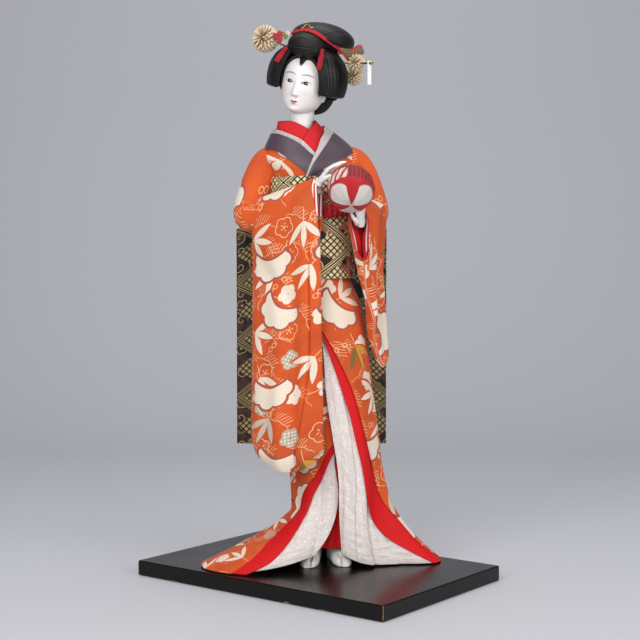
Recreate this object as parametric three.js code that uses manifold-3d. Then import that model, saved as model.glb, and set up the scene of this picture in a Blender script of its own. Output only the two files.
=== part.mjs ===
// Oyama doll: a standing figure in a trailing kimono, holding a thread ball, on a lacquered board.
// Millimetres, +Z up. The origin is the middle of the board's underside, the board's front is -Y.
// The figure is built facing -Y, standing on z = 0, and its group is then turned on the board.
import * as THREE from "three";
import { mergeVertices } from "three/addons/utils/BufferGeometryUtils.js";
import Module from "manifold-3d";

const wasm = await Module();
wasm.setup();

// Board
const BOARD_WIDTH = 300;
const BOARD_DEPTH = 200;
const BOARD_THICK = 15;
const BOARD_EDGE = 1;
const FIGURE_TURN = 37.5;
const FIGURE_BACK = 10;

// Clearances
const GAP = 0.4;
const CLOTH_GAP = 0.5;
const EDGE_GAP = 0.15;
const COLLAR_GAP = 0.6;
const SMOOTHING = 0.12;

// Legs and feet
const LEG_RADIUS = 7.5;
const WIRE_RADIUS = 1.5;
const WIRE_IN_BOARD = 10;
const WIRE_IN_CORE = 25;
const FOOT_LENGTH = 52;
const FOOT_WIDTH = 19;
const FOOT_HEIGHT = 24;
const HEEL_BEHIND_ANKLE = 13;
const TOE_SPLIT = 1.2;
const RIGHT_ANKLE = [-4, 3];
const LEFT_ANKLE = [18, 8];
const RIGHT_TOE_OUT = -8;
const LEFT_TOE_OUT = 14;

// Body
const CORE_BOTTOM = 70;
const WAIST_HEIGHT = 297;
const CHEST_TOP = 410;
const CLOTH_TOP = 432;

// Head, measured from its middle
const HEAD_MIDDLE = [-11.7, -4, 475.5];
const HEAD_WIDTH = 42;
const HEAD_DEPTH = 48;
const HEAD_HEIGHT = 59;
const HEAD_TURN = -19;
const HEAD_LEAN = 12.5;
const HEAD_NOD = 5;
const NOSE_RISE = 4.2;
const EYE_SPACING = 17.2;
const EYE_RADIUS = 3.2;
const EYE_HEIGHT = 0.5;
const EAR_HEIGHT = -9;
const NECK_AXIS = [-15.5, 1];
const NECK_RADIUS = 12.5;
const NECK_PEG_RADIUS = 4;
const NECK_PEG_BELOW = 30;
const NECK_PEG_ABOVE = 12;

// Hair
const CAP_THICK = 2.6;
const SIDE_HAIR_THICK = 8;
const SIDE_HAIR_BOTTOM = -8.5;
const SIDE_HAIR_TOP = 38;
const FRONT_HAIR = { wide: 19.5, deep: 15, high: 14, middle: [-1.5, -9, 36] };
const TOPKNOT = { wide: 31.5, long: 31, high: 15.5, middle: [3, 20, 45.5] };
const RIBBON_WIDTH = 5;
const RIBBON_THICK = 1.3;

// Cloth
const CLOTH_THICK = 1.4;
const COLLAR_THICK = 1;
const SKIRT_TOP = WAIST_HEIGHT - 1;
const WRAP_START = 40;
const WRAP_PITCH = 6.2;
const HEM_LIFT = 0.6;
const HEM_FOLD = 2.2;
const HEM_FOLDS = 9;
const UNDERSKIRT_HEM = 12;
const WHITE_HEM_RISE = 12;

// Obi
const OBI_BOTTOM = 284;
const OBI_TOP = 383;
const OBI_THICK = 2.6;
const OBI_WIDE = 78.4;
const OBI_DEEP = 67.4;
const OBI_CORD_THICK = 7;
const OBI_CORD_HIGH = 13;
const OBI_CORD_HEIGHT = 347;
const OBI_CORD_RISE = 5;
const OBI_TAIL_WIDTH = 76;
const OBI_TAIL_BOTTOM = 112;
const OBI_TAIL_THICK = 3;
const OBI_KNOT = { wide: 40, deep: 13, high: 24 };

// Sleeves, arms and ball
const ARM_RADIUS = 4.5;
const SLEEVE_WALL = 2.2;
const SLEEVE_ROWS = 7;
const SLEEVE_TAPER = 60;
const SLEEVE_FOLD = 1.6;
const SLEEVE_FOLDS = 2;
const SLEEVE_FOOT = 12;
const LINING_THICK = 1.1;
const LINING_SHOWS = 2.5;
const CUFF_OPENING = 70;
const BALL_RADIUS = 23;
const BALL_MIDDLE = [32, -66, 369];
const BALL_GROOVES = 12;
const BALL_TILT = 135;

// Hair ornaments
const FLOWER_RADIUS = 13.5;
const SMALL_FLOWER_RADIUS = 9;
const FLOWER_PETALS = 12;
const PIN_RADIUS = 0.9;
const PIN_LENGTH = 24;
const TASSEL_WIDTH = 5.5;
const TASSEL_THICK = 1.6;
const STRIP_LENGTH = 23;
const STRIP_WIDTH = 4.5;
const STRIP_THICK = 0.8;
const PIN_BEAD = 1.8;
const STRIP_OUT = 18.5;

const { sin, cos, PI, exp, sqrt, abs, max, min, sign } = Math;
const radians = THREE.MathUtils.degToRad;
const lerp = THREE.MathUtils.lerp;
const at = (x, y, z) => new THREE.Vector3(x, y, z);
const steps = (count) => Array.from({ length: count + 1 }, (_, index) => index / count);

/** A smooth curve through [place, value] knots given in rising order. */
function through(...knots) {
  const last = knots.length - 1;
  const slopes = knots.map((_, index) => {
    const before = knots[max(index - 1, 0)];
    const after = knots[min(index + 1, last)];
    return (after[1] - before[1]) / (after[0] - before[0]);
  });
  return (place) => {
    const clamped = min(max(place, knots[0][0]), knots[last][0]);
    const index = min(max(knots.findIndex((knot) => knot[0] > clamped) - 1, 0), last - 1);
    const found = clamped >= knots[last][0] ? last - 1 : index;
    const [[start, low], [end, high]] = [knots[found], knots[found + 1]];
    const span = end - start;
    const share = (clamped - start) / span;
    const rise = share * share * (3 - 2 * share);
    const lead = share * (1 - share) * (1 - share) * span * slopes[found];
    const tail = share * share * (share - 1) * span * slopes[found + 1];
    return low + (high - low) * rise + lead + tail;
  };
}

/** Indexed geometry with its meeting points merged, its faces turned outwards and no face of no width. */
function closed(points, faces) {
  const loose = new THREE.BufferGeometry().setFromPoints(points);
  loose.setIndex(faces);
  const geometry = mergeVertices(loose, 1e-3);
  const corner = (index) => new THREE.Vector3().fromBufferAttribute(geometry.attributes.position, index);
  const kept = [];
  let volume = 0;
  for (let face = 0; face < faces.length; face += 3) {
    const [a, b, c] = [0, 1, 2].map((step) => geometry.index.getX(face + step));
    if (a !== b && b !== c && c !== a) {
      kept.push(a, b, c);
      volume += corner(a).dot(corner(b).cross(corner(c)));
    }
  }
  geometry.setIndex(volume < 0 ? kept.reverse() : kept);
  return geometry;
}

/** Solid through closed rings of points, each end closed by a fan. */
function loft(rings) {
  const count = rings[0].length;
  const points = rings.flat();
  const faces = [];
  for (let ring = 0; ring < rings.length - 1; ring += 1) {
    for (let index = 0; index < count; index += 1) {
      const a = ring * count + index;
      const b = ring * count + ((index + 1) % count);
      faces.push(a, b, b + count, a, b + count, a + count);
    }
  }
  for (const end of [0, rings.length - 1]) {
    const middle = points.length;
    points.push(rings[end].reduce((sum, point) => sum.add(point), at(0, 0, 0)).divideScalar(count));
    for (let index = 0; index < count; index += 1) {
      const a = end * count + index;
      const b = end * count + ((index + 1) % count);
      faces.push(...(end === 0 ? [b, a, middle] : [a, b, middle]));
    }
  }
  return closed(points, faces);
}

/** Cloth between two surfaces of (u, v); a ring of cloth has its first and last columns joined. */
function sheet(columns, rows, outer, inner, ring = false) {
  const across = ring ? columns : columns + 1;
  const points = [];
  for (const surface of [outer, inner]) {
    for (let column = 0; column < across; column += 1) {
      for (let row = 0; row <= rows; row += 1) {
        points.push(surface(column / columns, row / rows));
      }
    }
  }
  const half = across * (rows + 1);
  const place = (column, row) => (column % across) * (rows + 1) + row;
  const faces = [];
  const quad = (a, b, c, d) => faces.push(a, b, c, a, c, d);
  for (let column = 0; column < columns; column += 1) {
    for (let row = 0; row < rows; row += 1) {
      const corners = [place(column, row), place(column + 1, row), place(column + 1, row + 1), place(column, row + 1)];
      const [a, b, c, d] = corners;
      quad(a, b, c, d);
      quad(half + a, half + d, half + c, half + b);
    }
    for (const row of [0, rows]) {
      const [a, b] = [place(column, row), place(column + 1, row)];
      if (row === 0) quad(b, a, half + a, half + b);
      else quad(a, b, half + b, half + a);
    }
  }
  if (!ring) {
    for (let row = 0; row < rows; row += 1) {
      const [a, b] = [place(0, row), place(0, row + 1)];
      quad(a, b, half + b, half + a);
      const [c, d] = [place(columns, row), place(columns, row + 1)];
      quad(d, c, half + c, half + d);
    }
  }
  return closed(points, faces);
}

/** Round bar along points, with a radius at each point. */
function bar(points, radii, sides = 10) {
  const path = new THREE.CatmullRomCurve3(points, false, "centripetal");
  const count = points.length > 2 ? (points.length - 1) * 3 : 1;
  const frames = path.computeFrenetFrames(count, false);
  const size = through(...radii.map((radius, index) => [index / (radii.length - 1), radius]));
  const rings = steps(count).map((share, index) => {
    const middle = path.getPoint(share);
    return steps(sides).slice(0, sides).map((turn) => middle.clone()
      .addScaledVector(frames.normals[index], size(share) * cos(turn * 2 * PI))
      .addScaledVector(frames.binormals[index], size(share) * sin(turn * 2 * PI)));
  });
  return loft(rings);
}

/** Flat ellipse of points at one height. */
function ellipse(count, x, y, z, wide, deep) {
  return steps(count).slice(0, count).map((turn) => at(x + wide * sin(turn * 2 * PI), y - deep * cos(turn * 2 * PI), z));
}

/** Ball stretched to three half sizes. */
function ellipsoid(wide, deep, high, columns = 14, rows = 8) {
  const rings = [];
  for (let row = 1; row < rows; row += 1) {
    const tilt = (row / rows) * PI;
    rings.push(ellipse(columns, 0, 0, -high * cos(tilt), wide * sin(tilt), deep * sin(tilt)));
  }
  return loft(rings);
}

function solid(geometry) {
  const bare = geometry.clone();
  bare.deleteAttribute("normal");
  bare.deleteAttribute("uv");
  const merged = mergeVertices(bare, 1e-4);
  return new wasm.Manifold(new wasm.Mesh({
    numProp: 3,
    vertProperties: new Float32Array(merged.attributes.position.array),
    triVerts: new Uint32Array(merged.index.array),
  }));
}

/** Geometry of a solid's largest body, so that trimmed slivers fall away. */
function geometryOf(body) {
  const bodies = body.asOriginal().simplify(SMOOTHING).decompose();
  const mesh = bodies.sort((a, b) => b.volume() - a.volume())[0].getMesh();
  const geometry = new THREE.BufferGeometry();
  geometry.setAttribute("position", new THREE.BufferAttribute(mesh.vertProperties, 3));
  geometry.setIndex(new THREE.BufferAttribute(mesh.triVerts, 1));
  return geometry;
}

function join(...geometries) {
  return geometryOf(geometries.map(solid).reduce((whole, next) => whole.add(next)));
}

function cut(geometry, ...tools) {
  return geometryOf(tools.map(solid).reduce((whole, tool) => whole.subtract(tool), solid(geometry)));
}

/** Copy of a shape with every face moved outwards by one distance. */
function grown(geometry, distance) {
  const bare = geometry.clone();
  bare.deleteAttribute("normal");
  bare.deleteAttribute("uv");
  const merged = mergeVertices(bare, 1e-4);
  const { position } = merged.attributes;
  const corners = Array.from({ length: position.count }, (_, index) => new THREE.Vector3().fromBufferAttribute(position, index));
  const planes = corners.map(() => []);
  for (let face = 0; face < merged.index.count; face += 3) {
    const trio = [0, 1, 2].map((step) => merged.index.getX(face + step));
    const [a, b, c] = trio.map((index) => corners[index]);
    const normal = b.clone().sub(a).cross(c.clone().sub(a)).normalize();
    trio.forEach((index) => planes[index].push(normal));
  }
  corners.forEach((corner, index) => {
    const step = mitre(planes[index]).multiplyScalar(distance);
    position.setXYZ(index, corner.x + step.x, corner.y + step.y, corner.z + step.z);
  });
  return merged;
}

/** The move of a corner that moves each of the planes that meet there outwards by one. */
function mitre(normals) {
  const sum = normals.reduce((total, normal) => total.add(normal), at(0, 0, 0));
  const square = (i, j) => normals.reduce((total, n) => total + n.getComponent(i) * n.getComponent(j), i === j ? 0.05 : 0);
  const spreadOf = new THREE.Matrix3().set(
    square(0, 0), square(0, 1), square(0, 2),
    square(1, 0), square(1, 1), square(1, 2),
    square(2, 0), square(2, 1), square(2, 2),
  );
  return sum.applyMatrix3(spreadOf.invert());
}

/** Trims a shape so that it lies a clearance away from its neighbours. */
const clearBy = (gap, geometry, ...neighbours) => cut(geometry, ...neighbours.map((other) => grown(other, gap)));
const clear = (geometry, ...neighbours) => clearBy(GAP, geometry, ...neighbours);

const moved = (geometry, x, y, z) => geometry.clone().translate(x, y, z);
const upright = (radius, bottom, top, x, y, sides = 12) => loft([
  ellipse(sides, x, y, bottom, radius, radius),
  ellipse(sides, x, y, top, radius, radius),
]);

// Skirt layers, as distances outside the core, and what they take up at the waist
const underOut = CLOTH_GAP;
const whiteOut = underOut + CLOTH_THICK + CLOTH_GAP;
const liningOut = whiteOut + CLOTH_THICK + CLOTH_GAP;
const kimonoOut = liningOut + CLOTH_THICK + CLOTH_GAP;
const wrapStack = kimonoOut + CLOTH_THICK + WRAP_PITCH * (1 + (2 * WRAP_START) / 360) + CLOTH_GAP;
const waistWide = OBI_WIDE / 2 - wrapStack;
const waistDeep = OBI_DEEP / 2 - wrapStack;

// Lower body: the padded core that the skirts hang on, as sections at each height
const hipX = through([0, 12], [45, 15], [85, 17], [130, 12], [180, 5], [232, 0], [OBI_BOTTOM, -4], [WAIST_HEIGHT, -4]);
const hipY = through([0, 3], [120, 1], [WAIST_HEIGHT, 0]);
const hipWide = through([0, 27], [45, 30], [85, 34], [130, 36], [232, 36], [258, 33],
  [OBI_BOTTOM, waistWide], [WAIST_HEIGHT, waistWide]);
const hipDeep = through([0, 22], [85, 25], [130, 28], [232, 30], [258, 27],
  [OBI_BOTTOM, waistDeep], [WAIST_HEIGHT, waistDeep]);
const FLOOR_ROWS = [90, 63, 43, 28, 14, HEM_LIFT];
const bodyRows = [SKIRT_TOP, OBI_BOTTOM, 258, 228, 180, 145, 118, ...FLOOR_ROWS];
const TURN_SIDES = 18;

// Upper body: the core under the bodice, and the collars' line round the neck
const chestX = through([WAIST_HEIGHT, -4], [380, -6], [410, -9], [440, -12]);
const chestY = through([WAIST_HEIGHT, 0], [385, 0], [410, 1.5], [440, 5]);
const chestWide = through([WAIST_HEIGHT, 30], [360, 31.5], [386, 32.5], [396, 41], [404, 41], [412, 36], [428, 26], [446, 18]);
const chestDeep = through([WAIST_HEIGHT, 24.5], [360, 26], [386, 26.5], [396, 26], [412, 22], [428, 19], [446, 16.5]);

/** Point outside the chest core: an angle from the front, a height and a distance out. */
const onChest = (angle, height, out) => at(
  chestX(height) + (chestWide(height) + out) * sin(angle),
  chestY(height) - (chestDeep(height) + out) * cos(angle),
  height,
);

/** How far the skirts spread over the floor in each direction. */
const spread = through([-180, 54], [-120, 66], [-71, 97], [-51, 82], [-25, 40], [0, 14], [30, 14], [55, 26], [69, 40],
  [80, 70], [97, 74], [115, 52], [140, 42], [165, 46], [180, 54]);

/** Point on the skirts: an angle from the front, a height and a distance outside the core. */
function onSkirt(angle, height, out) {
  const facing = THREE.MathUtils.euclideanModulo(angle + 180, 360) - 180;
  const side = sin(radians(facing));
  const flareTop = 82 + 28 * side;
  const low = max(0, 1 - height / flareTop);
  const flare = spread(facing) * low ** (1.7 + 0.4 * side);
  const fold = HEM_FOLD * max(0, 1 - height / SKIRT_TOP) ** 2 * cos(radians(facing * HEM_FOLDS));
  const reach = out + flare + fold;
  return at(
    hipX(height) + (hipWide(height) + reach) * side,
    hipY(height) - (hipDeep(height) + reach) * cos(radians(facing)),
    height,
  );
}

/** Skirt layer that wraps from its under edge round the back to its upper edge, on lines shared by all layers. */
function skirtLayer({ under, over, out, hem }) {
  const step = 360 / TURN_SIDES;
  const first = Math.ceil(WRAP_START / step);
  const last = Math.floor((-360 - WRAP_START) / step);
  const rows = bodyRows.length - 1;
  const surface = (depth) => (u, v) => {
    const row = bodyRows[Math.round(v * rows)];
    const line = lerp(first, last, u) * step;
    const held = (height) => min(max(line, over(height) - 360), under(height));
    const height = max(row, hem(held(row)));
    const angle = held(height);
    const turns = (WRAP_START - angle) / 360;
    return onSkirt(angle, height, out + depth + WRAP_PITCH * turns);
  };
  return sheet(first - last, rows, surface(CLOTH_THICK), surface(0));
}

const floorHem = () => HEM_LIFT;
const whiteHem = (angle) => {
  const facing = THREE.MathUtils.euclideanModulo(angle + 180, 360) - 180;
  return HEM_LIFT + WHITE_HEM_RISE * exp(-(((facing - 8) / 26) ** 2));
};

const whiteLayer = {
  out: whiteOut,
  hem: whiteHem,
  under: through([12, -19], [40, 0], [63, 6], [113, 4], [150, 36], [SKIRT_TOP, WRAP_START]),
  over: through([12, 16], [63, 7], [112, 4.5], [162, 3], [228, 4], [250, -10], [SKIRT_TOP, -WRAP_START]),
};
const liningLayer = {
  out: liningOut,
  hem: floorHem,
  under: through([0, -48], [12, -41], [63, -35], [88, -17], [110, 0], [150, 36], [SKIRT_TOP, WRAP_START]),
  over: through([0, 79], [23, 70], [63, 46], [112, 34], [162, 26], [228, 5], [250, -10], [SKIRT_TOP, -WRAP_START]),
};
const kimonoLayer = {
  out: kimonoOut,
  hem: floorHem,
  under: through([0, -54], [15, -53], [36, -58], [63, -56], [93, -24], [118, -2], [150, 36], [SKIRT_TOP, WRAP_START]),
  over: through([0, 92], [14, 80], [43, 74], [83, 56], [132, 42], [177, 33.5], [230, 8], [250, -10], [SKIRT_TOP, -WRAP_START]),
};

const rightAnkle = at(RIGHT_ANKLE[0], RIGHT_ANKLE[1], 0);
const leftAnkle = at(LEFT_ANKLE[0], LEFT_ANKLE[1], 0);

/** Split-toe foot pointing to -Y, its ankle over the origin, on the board. */
function foot(turn, ankle, bigToeSide) {
  const half = through([0, 0.5], [0.12, 0.8], [0.45, 0.86], [0.75, 1], [0.92, 0.8], [1, 0.4]);
  const high = through([0, 0.55], [0.12, 0.9], [0.3, 1], [0.5, 0.76], [0.78, 0.44], [0.94, 0.34], [1, 0.18]);
  const rings = steps(9).map((share) => {
    const y = HEEL_BEHIND_ANKLE - FOOT_LENGTH * share;
    const wide = (FOOT_WIDTH / 2) * half(share);
    const tall = FOOT_HEIGHT * high(share);
    return steps(12).slice(0, 12).map((way) => {
      const angle = way * 2 * PI;
      return at(wide * sin(angle), y, GAP + max(0, tall * (0.35 - 0.65 * cos(angle))));
    });
  });
  const split = new THREE.BoxGeometry(TOE_SPLIT, FOOT_LENGTH * 0.3, FOOT_HEIGHT * 2);
  split.translate(bigToeSide * FOOT_WIDTH * 0.14, HEEL_BEHIND_ANKLE - FOOT_LENGTH, FOOT_HEIGHT + GAP + 2);
  const shape = cut(join(loft(rings), upright(LEG_RADIUS, FOOT_HEIGHT * 0.4, FOOT_HEIGHT + 3, 0, 0)), split);
  return shape.rotateZ(radians(turn)).translate(ankle.x, ankle.y, 0);
}

const wireAt = (ankle) => upright(WIRE_RADIUS, -WIRE_IN_BOARD, CORE_BOTTOM + WIRE_IN_CORE, ankle.x, ankle.y, 8);
const rightWire = wireAt(rightAnkle);
const leftWire = wireAt(leftAnkle);
const rightFoot = clear(foot(RIGHT_TOE_OUT, rightAnkle, 1), rightWire);
const leftFoot = clear(foot(LEFT_TOE_OUT, leftAnkle, -1), leftWire);
const legOn = (ankle, wire) => clear(upright(LEG_RADIUS, FOOT_HEIGHT + 3 + GAP, CORE_BOTTOM - GAP, ankle.x, ankle.y), wire);

/** Padded core through sections at the given heights. */
const core = (heights, x, y, wide, deep) => loft(heights.map((height) => (
  ellipse(TURN_SIDES, x(height), y(height), height, wide(height), deep(height))
)));
const coreRows = [WAIST_HEIGHT - GAP, ...bodyRows.filter((row) => row > CORE_BOTTOM && row < SKIRT_TOP), CORE_BOTTOM];
const chestRows = steps(9).map((share) => lerp(WAIST_HEIGHT, CHEST_TOP, share));

const neckBottom = CHEST_TOP + GAP;
const neckPeg = upright(NECK_PEG_RADIUS, neckBottom - NECK_PEG_BELOW, neckBottom + NECK_PEG_ABOVE, ...NECK_AXIS);
const lowerCore = clear(core(coreRows, hipX, hipY, hipWide, hipDeep), rightWire, leftWire);

const underskirtRows = [...bodyRows.filter((row) => row > UNDERSKIRT_HEM), UNDERSKIRT_HEM];
const underskirtSurface = (depth) => (u, v) => {
  const height = underskirtRows[Math.round(v * (underskirtRows.length - 1))];
  const turn = u * 2 * PI;
  const out = underOut + depth;
  return at(
    hipX(height) + (hipWide(height) + out) * sin(turn),
    hipY(height) - (hipDeep(height) + out) * cos(turn),
    height,
  );
};
const redUnderskirt = clear(
  sheet(TURN_SIDES, underskirtRows.length - 1, underskirtSurface(CLOTH_THICK), underskirtSurface(0), true),
  rightFoot,
  leftFoot,
);
const kimonoSkirt = skirtLayer(kimonoLayer);
const kimonoLining = clearBy(EDGE_GAP, skirtLayer(liningLayer), kimonoSkirt);
const whiteUnderskirt = clear(clearBy(EDGE_GAP, skirtLayer(whiteLayer), kimonoLining, kimonoSkirt), rightFoot, leftFoot);

// Collars: bands that start under the wearer's left front, pass behind the neck and end over the right front
const collarLine = through([-388, 380], [-360, 399], [-315, 420], [-270, 430], [-180, 434], [-90, 430], [-45, 419],
  [0, 404], [28, 391]);
const COLLARS = {
  inner: { rise: 6, front: 18, drop: 5, lean: 0, layer: 0 },
  middle: { rise: 0.5, front: 0, drop: 9, lean: 2, layer: 1 },
  outer: { rise: -4, front: 0, drop: 20, lean: -5, layer: 2 },
};

/** One collar band, its two ends crossing at the front and its line leaning from one end to the other. */
function collar({ rise, front, drop, lean, layer }) {
  const step = COLLAR_THICK + COLLAR_GAP;
  const surface = (depth) => (u, v) => {
    const angle = lerp(26, -386, u);
    const raised = rise + front * exp(-(((angle > -180 ? angle : angle + 360) / 34) ** 2));
    const height = collarLine(angle) + lerp(-drop, raised, v) + lean * u;
    const out = COLLAR_GAP + step * (2 * layer + u) + depth;
    return onChest(radians(angle), height, out);
  };
  return sheet(24, 2, surface(COLLAR_THICK), surface(0));
}

const innerCollar = collar(COLLARS.inner);
const middleCollar = clear(collar(COLLARS.middle), innerCollar);
const outerCollar = clear(collar(COLLARS.outer), innerCollar, middleCollar);
const chestCore = clear(core(chestRows, chestX, chestY, chestWide, chestDeep), neckPeg, innerCollar, middleCollar);

// Arms: shoulder, elbow and wrist of each, and the sleeve's lowest point along the forearm
const RIGHT_ARM = { inside: at(-32, 2, 402), shoulder: at(-51, 1, 394), elbow: at(-67, -14, 346), wrist: at(2, -58, 369) };
const LEFT_ARM = { inside: at(20, 2, 402), shoulder: at(39, 1, 393), elbow: at(55, -6, 351), wrist: at(39, -46, 338) };
const armOf = ({ shoulder, elbow, wrist }) => {
  const inside = at(shoulder.x * 0.8, shoulder.y, shoulder.z + 2);
  return clear(bar([inside, shoulder, elbow, wrist], [ARM_RADIUS, ARM_RADIUS, ARM_RADIUS, ARM_RADIUS * 0.9], 8), chestCore);
};
const rightArm = armOf(RIGHT_ARM);
const leftArm = armOf(LEFT_ARM);

const bodiceOut = COLLAR_GAP + (COLLAR_THICK + COLLAR_GAP) * 2;

/** Bodice: a ring of cloth from under the obi to the collars, with holes for the arms. */
function bodice() {
  const bottom = WAIST_HEIGHT + 4;
  const surface = (depth) => (u, v) => {
    const turn = lerp(-20, -380, u);
    const top = collarLine(turn) - COLLARS.middle.drop - CLOTH_GAP * 2;
    return onChest(radians(turn), lerp(bottom, top, v ** 0.7), bodiceOut + depth);
  };
  return sheet(TURN_SIDES, 8, surface(CLOTH_THICK), surface(0), true);
}
const kimonoBodice = clear(bodice(), rightArm, leftArm, innerCollar, middleCollar, outerCollar);
const chestInside = core(
  steps(9).map((share) => lerp(WAIST_HEIGHT, CLOTH_TOP, share)),
  chestX,
  chestY,
  (height) => chestWide(height) + bodiceOut,
  (height) => chestDeep(height) + bodiceOut,
);

// Obi
const obiX = through([OBI_BOTTOM, -4], [OBI_TOP, -6]);
const obiSurface = (depth) => (u, v) => {
  const height = lerp(OBI_BOTTOM, OBI_TOP, v);
  const turn = u * 2 * PI;
  return at(obiX(height) + (OBI_WIDE / 2 + depth) * sin(turn), -(OBI_DEEP / 2 + depth) * cos(turn), height);
};
const obiBand = clear(
  sheet(24, 2, obiSurface(OBI_THICK), obiSurface(0), true),
  kimonoBodice, middleCollar, outerCollar,
);
const cordOut = OBI_THICK + OBI_CORD_THICK / 2 + GAP;

/** Padded cord tied round the obi, a closed ring of round section. */
function obiCord() {
  const sides = 6;
  const surface = (u, v) => {
    const turn = u * 2 * PI;
    const round = v * 2 * PI;
    const out = cordOut + (OBI_CORD_THICK / 2) * cos(round);
    const height = OBI_CORD_HEIGHT + OBI_CORD_RISE * sin(turn) + (OBI_CORD_HIGH / 2) * sin(round);
    return at(obiX(height) + (OBI_WIDE / 2 + out) * sin(turn), -(OBI_DEEP / 2 + out) * cos(turn), height);
  };
  const points = [];
  const faces = [];
  const count = 24;
  for (let column = 0; column < count; column += 1) {
    for (let side = 0; side < sides; side += 1) {
      points.push(surface(column / count, side / sides));
      const next = (column + 1) % count;
      const [a, b] = [column * sides + side, next * sides + side];
      const [c, d] = [next * sides + ((side + 1) % sides), column * sides + ((side + 1) % sides)];
      faces.push(a, b, c, a, c, d);
    }
  }
  return closed(points, faces);
}
const obiCordRing = clear(obiCord(), obiBand, rightArm, leftArm);

const obiBack = OBI_DEEP / 2 + OBI_THICK;
const tailTop = OBI_TOP - 34;
const tailOut = obiBack + OBI_CORD_THICK + 2;

/** Hanging obi tail with two soft lengthwise folds. */
function obiTail(middle) {
  const surface = (depth) => (u, v) => {
    const height = lerp(tailTop, OBI_TAIL_BOTTOM, v);
    const fold = 1.6 * v * cos(u * 4 * PI);
    return at(middle + (u - 0.5) * OBI_TAIL_WIDTH, tailOut + fold + depth + 3 * sin(v * PI), height);
  };
  return sheet(8, 4, surface(OBI_TAIL_THICK), surface(0));
}
const rightTail = obiTail(-45);
const leftTail = obiTail(33);
const obiKnot = clear(
  moved(ellipsoid(OBI_KNOT.wide, OBI_KNOT.deep, OBI_KNOT.high), -5, obiBack + OBI_KNOT.deep * 0.75, OBI_TOP - OBI_KNOT.high),
  obiBand,
  obiCordRing,
  kimonoBodice,
  outerCollar,
  rightTail,
  leftTail,
);

/** Section of a hanging sleeve: round over the arm, flat below, down to its lowest point. */
function sleeveRing(arm, share, bottom, { top, pouch, inset }) {
  const middle = arm.elbow.clone().lerp(arm.wrist, share);
  const along = arm.wrist.clone().sub(arm.elbow).setZ(0).normalize();
  const thick = at(-along.y, along.x, 0);
  const drop = arm.drop(share);
  const peak = middle.z + top;
  const low = max(bottom, drop.z + inset);
  const lean = at(drop.x - middle.x, drop.y - middle.y, 0);
  const side = (sense) => steps(SLEEVE_ROWS).map((row) => {
    const height = lerp(peak - inset, low, row ** 1.8);
    const above = max(0, (height - middle.z) / top);
    const round = sqrt(max(0.04, 1 - above * above));
    const slim = lerp(top, pouch, min(1, max(0, (middle.z - height) / SLEEVE_TAPER)));
    const foot = min(1, sqrt(max(0.04, (height - low) / SLEEVE_FOOT)));
    const half = max(0.5, slim * round * foot - inset);
    return at(middle.x, middle.y, height)
      .addScaledVector(lean, (peak - height) / (peak - drop.z))
      .addScaledVector(thick, sense * half + SLEEVE_FOLD * sin(share * SLEEVE_FOLDS * 2 * PI) * min(1, row * 2));
  });
  return [...side(1), ...side(-1).reverse()];
}

/** Pouch of a sleeve from near the elbow to the cuff. */
const sleevePouch = (arm, from, to, count, shape, bottom = 0) => loft(steps(count).map((share) => (
  sleeveRing(arm, lerp(from, to, share), bottom, shape)
)));

RIGHT_ARM.drop = (share) => {
  const low = through([0.05, 126], [0.12, 114], [0.3, 103], [0.55, 98], [0.8, 103], [1, 116]);
  const elbow = RIGHT_ARM.elbow;
  const wrist = RIGHT_ARM.wrist;
  const bulge = 14 * sin(max(0, share) * PI);
  return at(lerp(elbow.x - 3, wrist.x + 4, share), lerp(elbow.y - 10, wrist.y, share) - bulge, low(share));
};
LEFT_ARM.drop = (share) => {
  const low = through([-0.2, 205], [0.15, 196], [0.5, 226], [1, 300]);
  return at(lerp(66, 44, share), lerp(-2, -50, share), low(share));
};

/** Sleeve: the upper arm's tube and the hanging pouch, open at the cuff. */
function sleeve(arm, { start, top, pouch, tube, cuffBottom }) {
  const shape = { top, pouch, inset: 0 };
  const hollow = { top, pouch, inset: SLEEVE_WALL };
  const path = [arm.inside, arm.shoulder, arm.elbow, arm.elbow.clone().lerp(arm.wrist, 0.35)];
  const upper = bar(path, tube, 10);
  const outer = join(sleevePouch(arm, start, 1, 8, shape), upper);
  return cut(outer, sleevePouch(arm, 0.3, 1.1, 5, hollow, cuffBottom));
}

/** Lining that shows as an edge inside the cuff. */
function sleeveLining(arm, { top, pouch, cuffBottom }) {
  const outside = SLEEVE_WALL + GAP;
  const reach = 1 + LINING_SHOWS / arm.elbow.distanceTo(arm.wrist);
  const outer = sleevePouch(arm, 0.6, reach, 4, { top, pouch, inset: outside }, cuffBottom + GAP);
  const hollow = { top, pouch, inset: outside + LINING_THICK };
  return cut(outer, sleevePouch(arm, 0.4, 1.2, 6, hollow, cuffBottom + GAP + LINING_THICK));
}

const RIGHT_SLEEVE = {
  start: 0.06, top: 12.5, pouch: 5.5, tube: [13, 16, 15, 11.5], cuffBottom: RIGHT_ARM.wrist.z - CUFF_OPENING,
};
const LEFT_SLEEVE = {
  start: -0.12, top: 14, pouch: 5.5, tube: [13, 16, 15.5, 12.5], cuffBottom: LEFT_ARM.wrist.z - CUFF_OPENING,
};
const rightLining = clear(sleeveLining(RIGHT_ARM, RIGHT_SLEEVE), rightArm, outerCollar, obiBand, obiCordRing, kimonoSkirt);
const leftLining = clear(sleeveLining(LEFT_ARM, LEFT_SLEEVE), leftArm, obiBand, obiCordRing, kimonoSkirt);
const dressed = [chestInside, kimonoBodice, outerCollar, obiBand, obiCordRing, kimonoSkirt];
const rightSleeve = clear(sleeve(RIGHT_ARM, RIGHT_SLEEVE), rightArm, rightLining, rightTail, ...dressed);
const leftSleeve = clear(sleeve(LEFT_ARM, LEFT_SLEEVE), leftArm, leftLining, leftTail, ...dressed);

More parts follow.
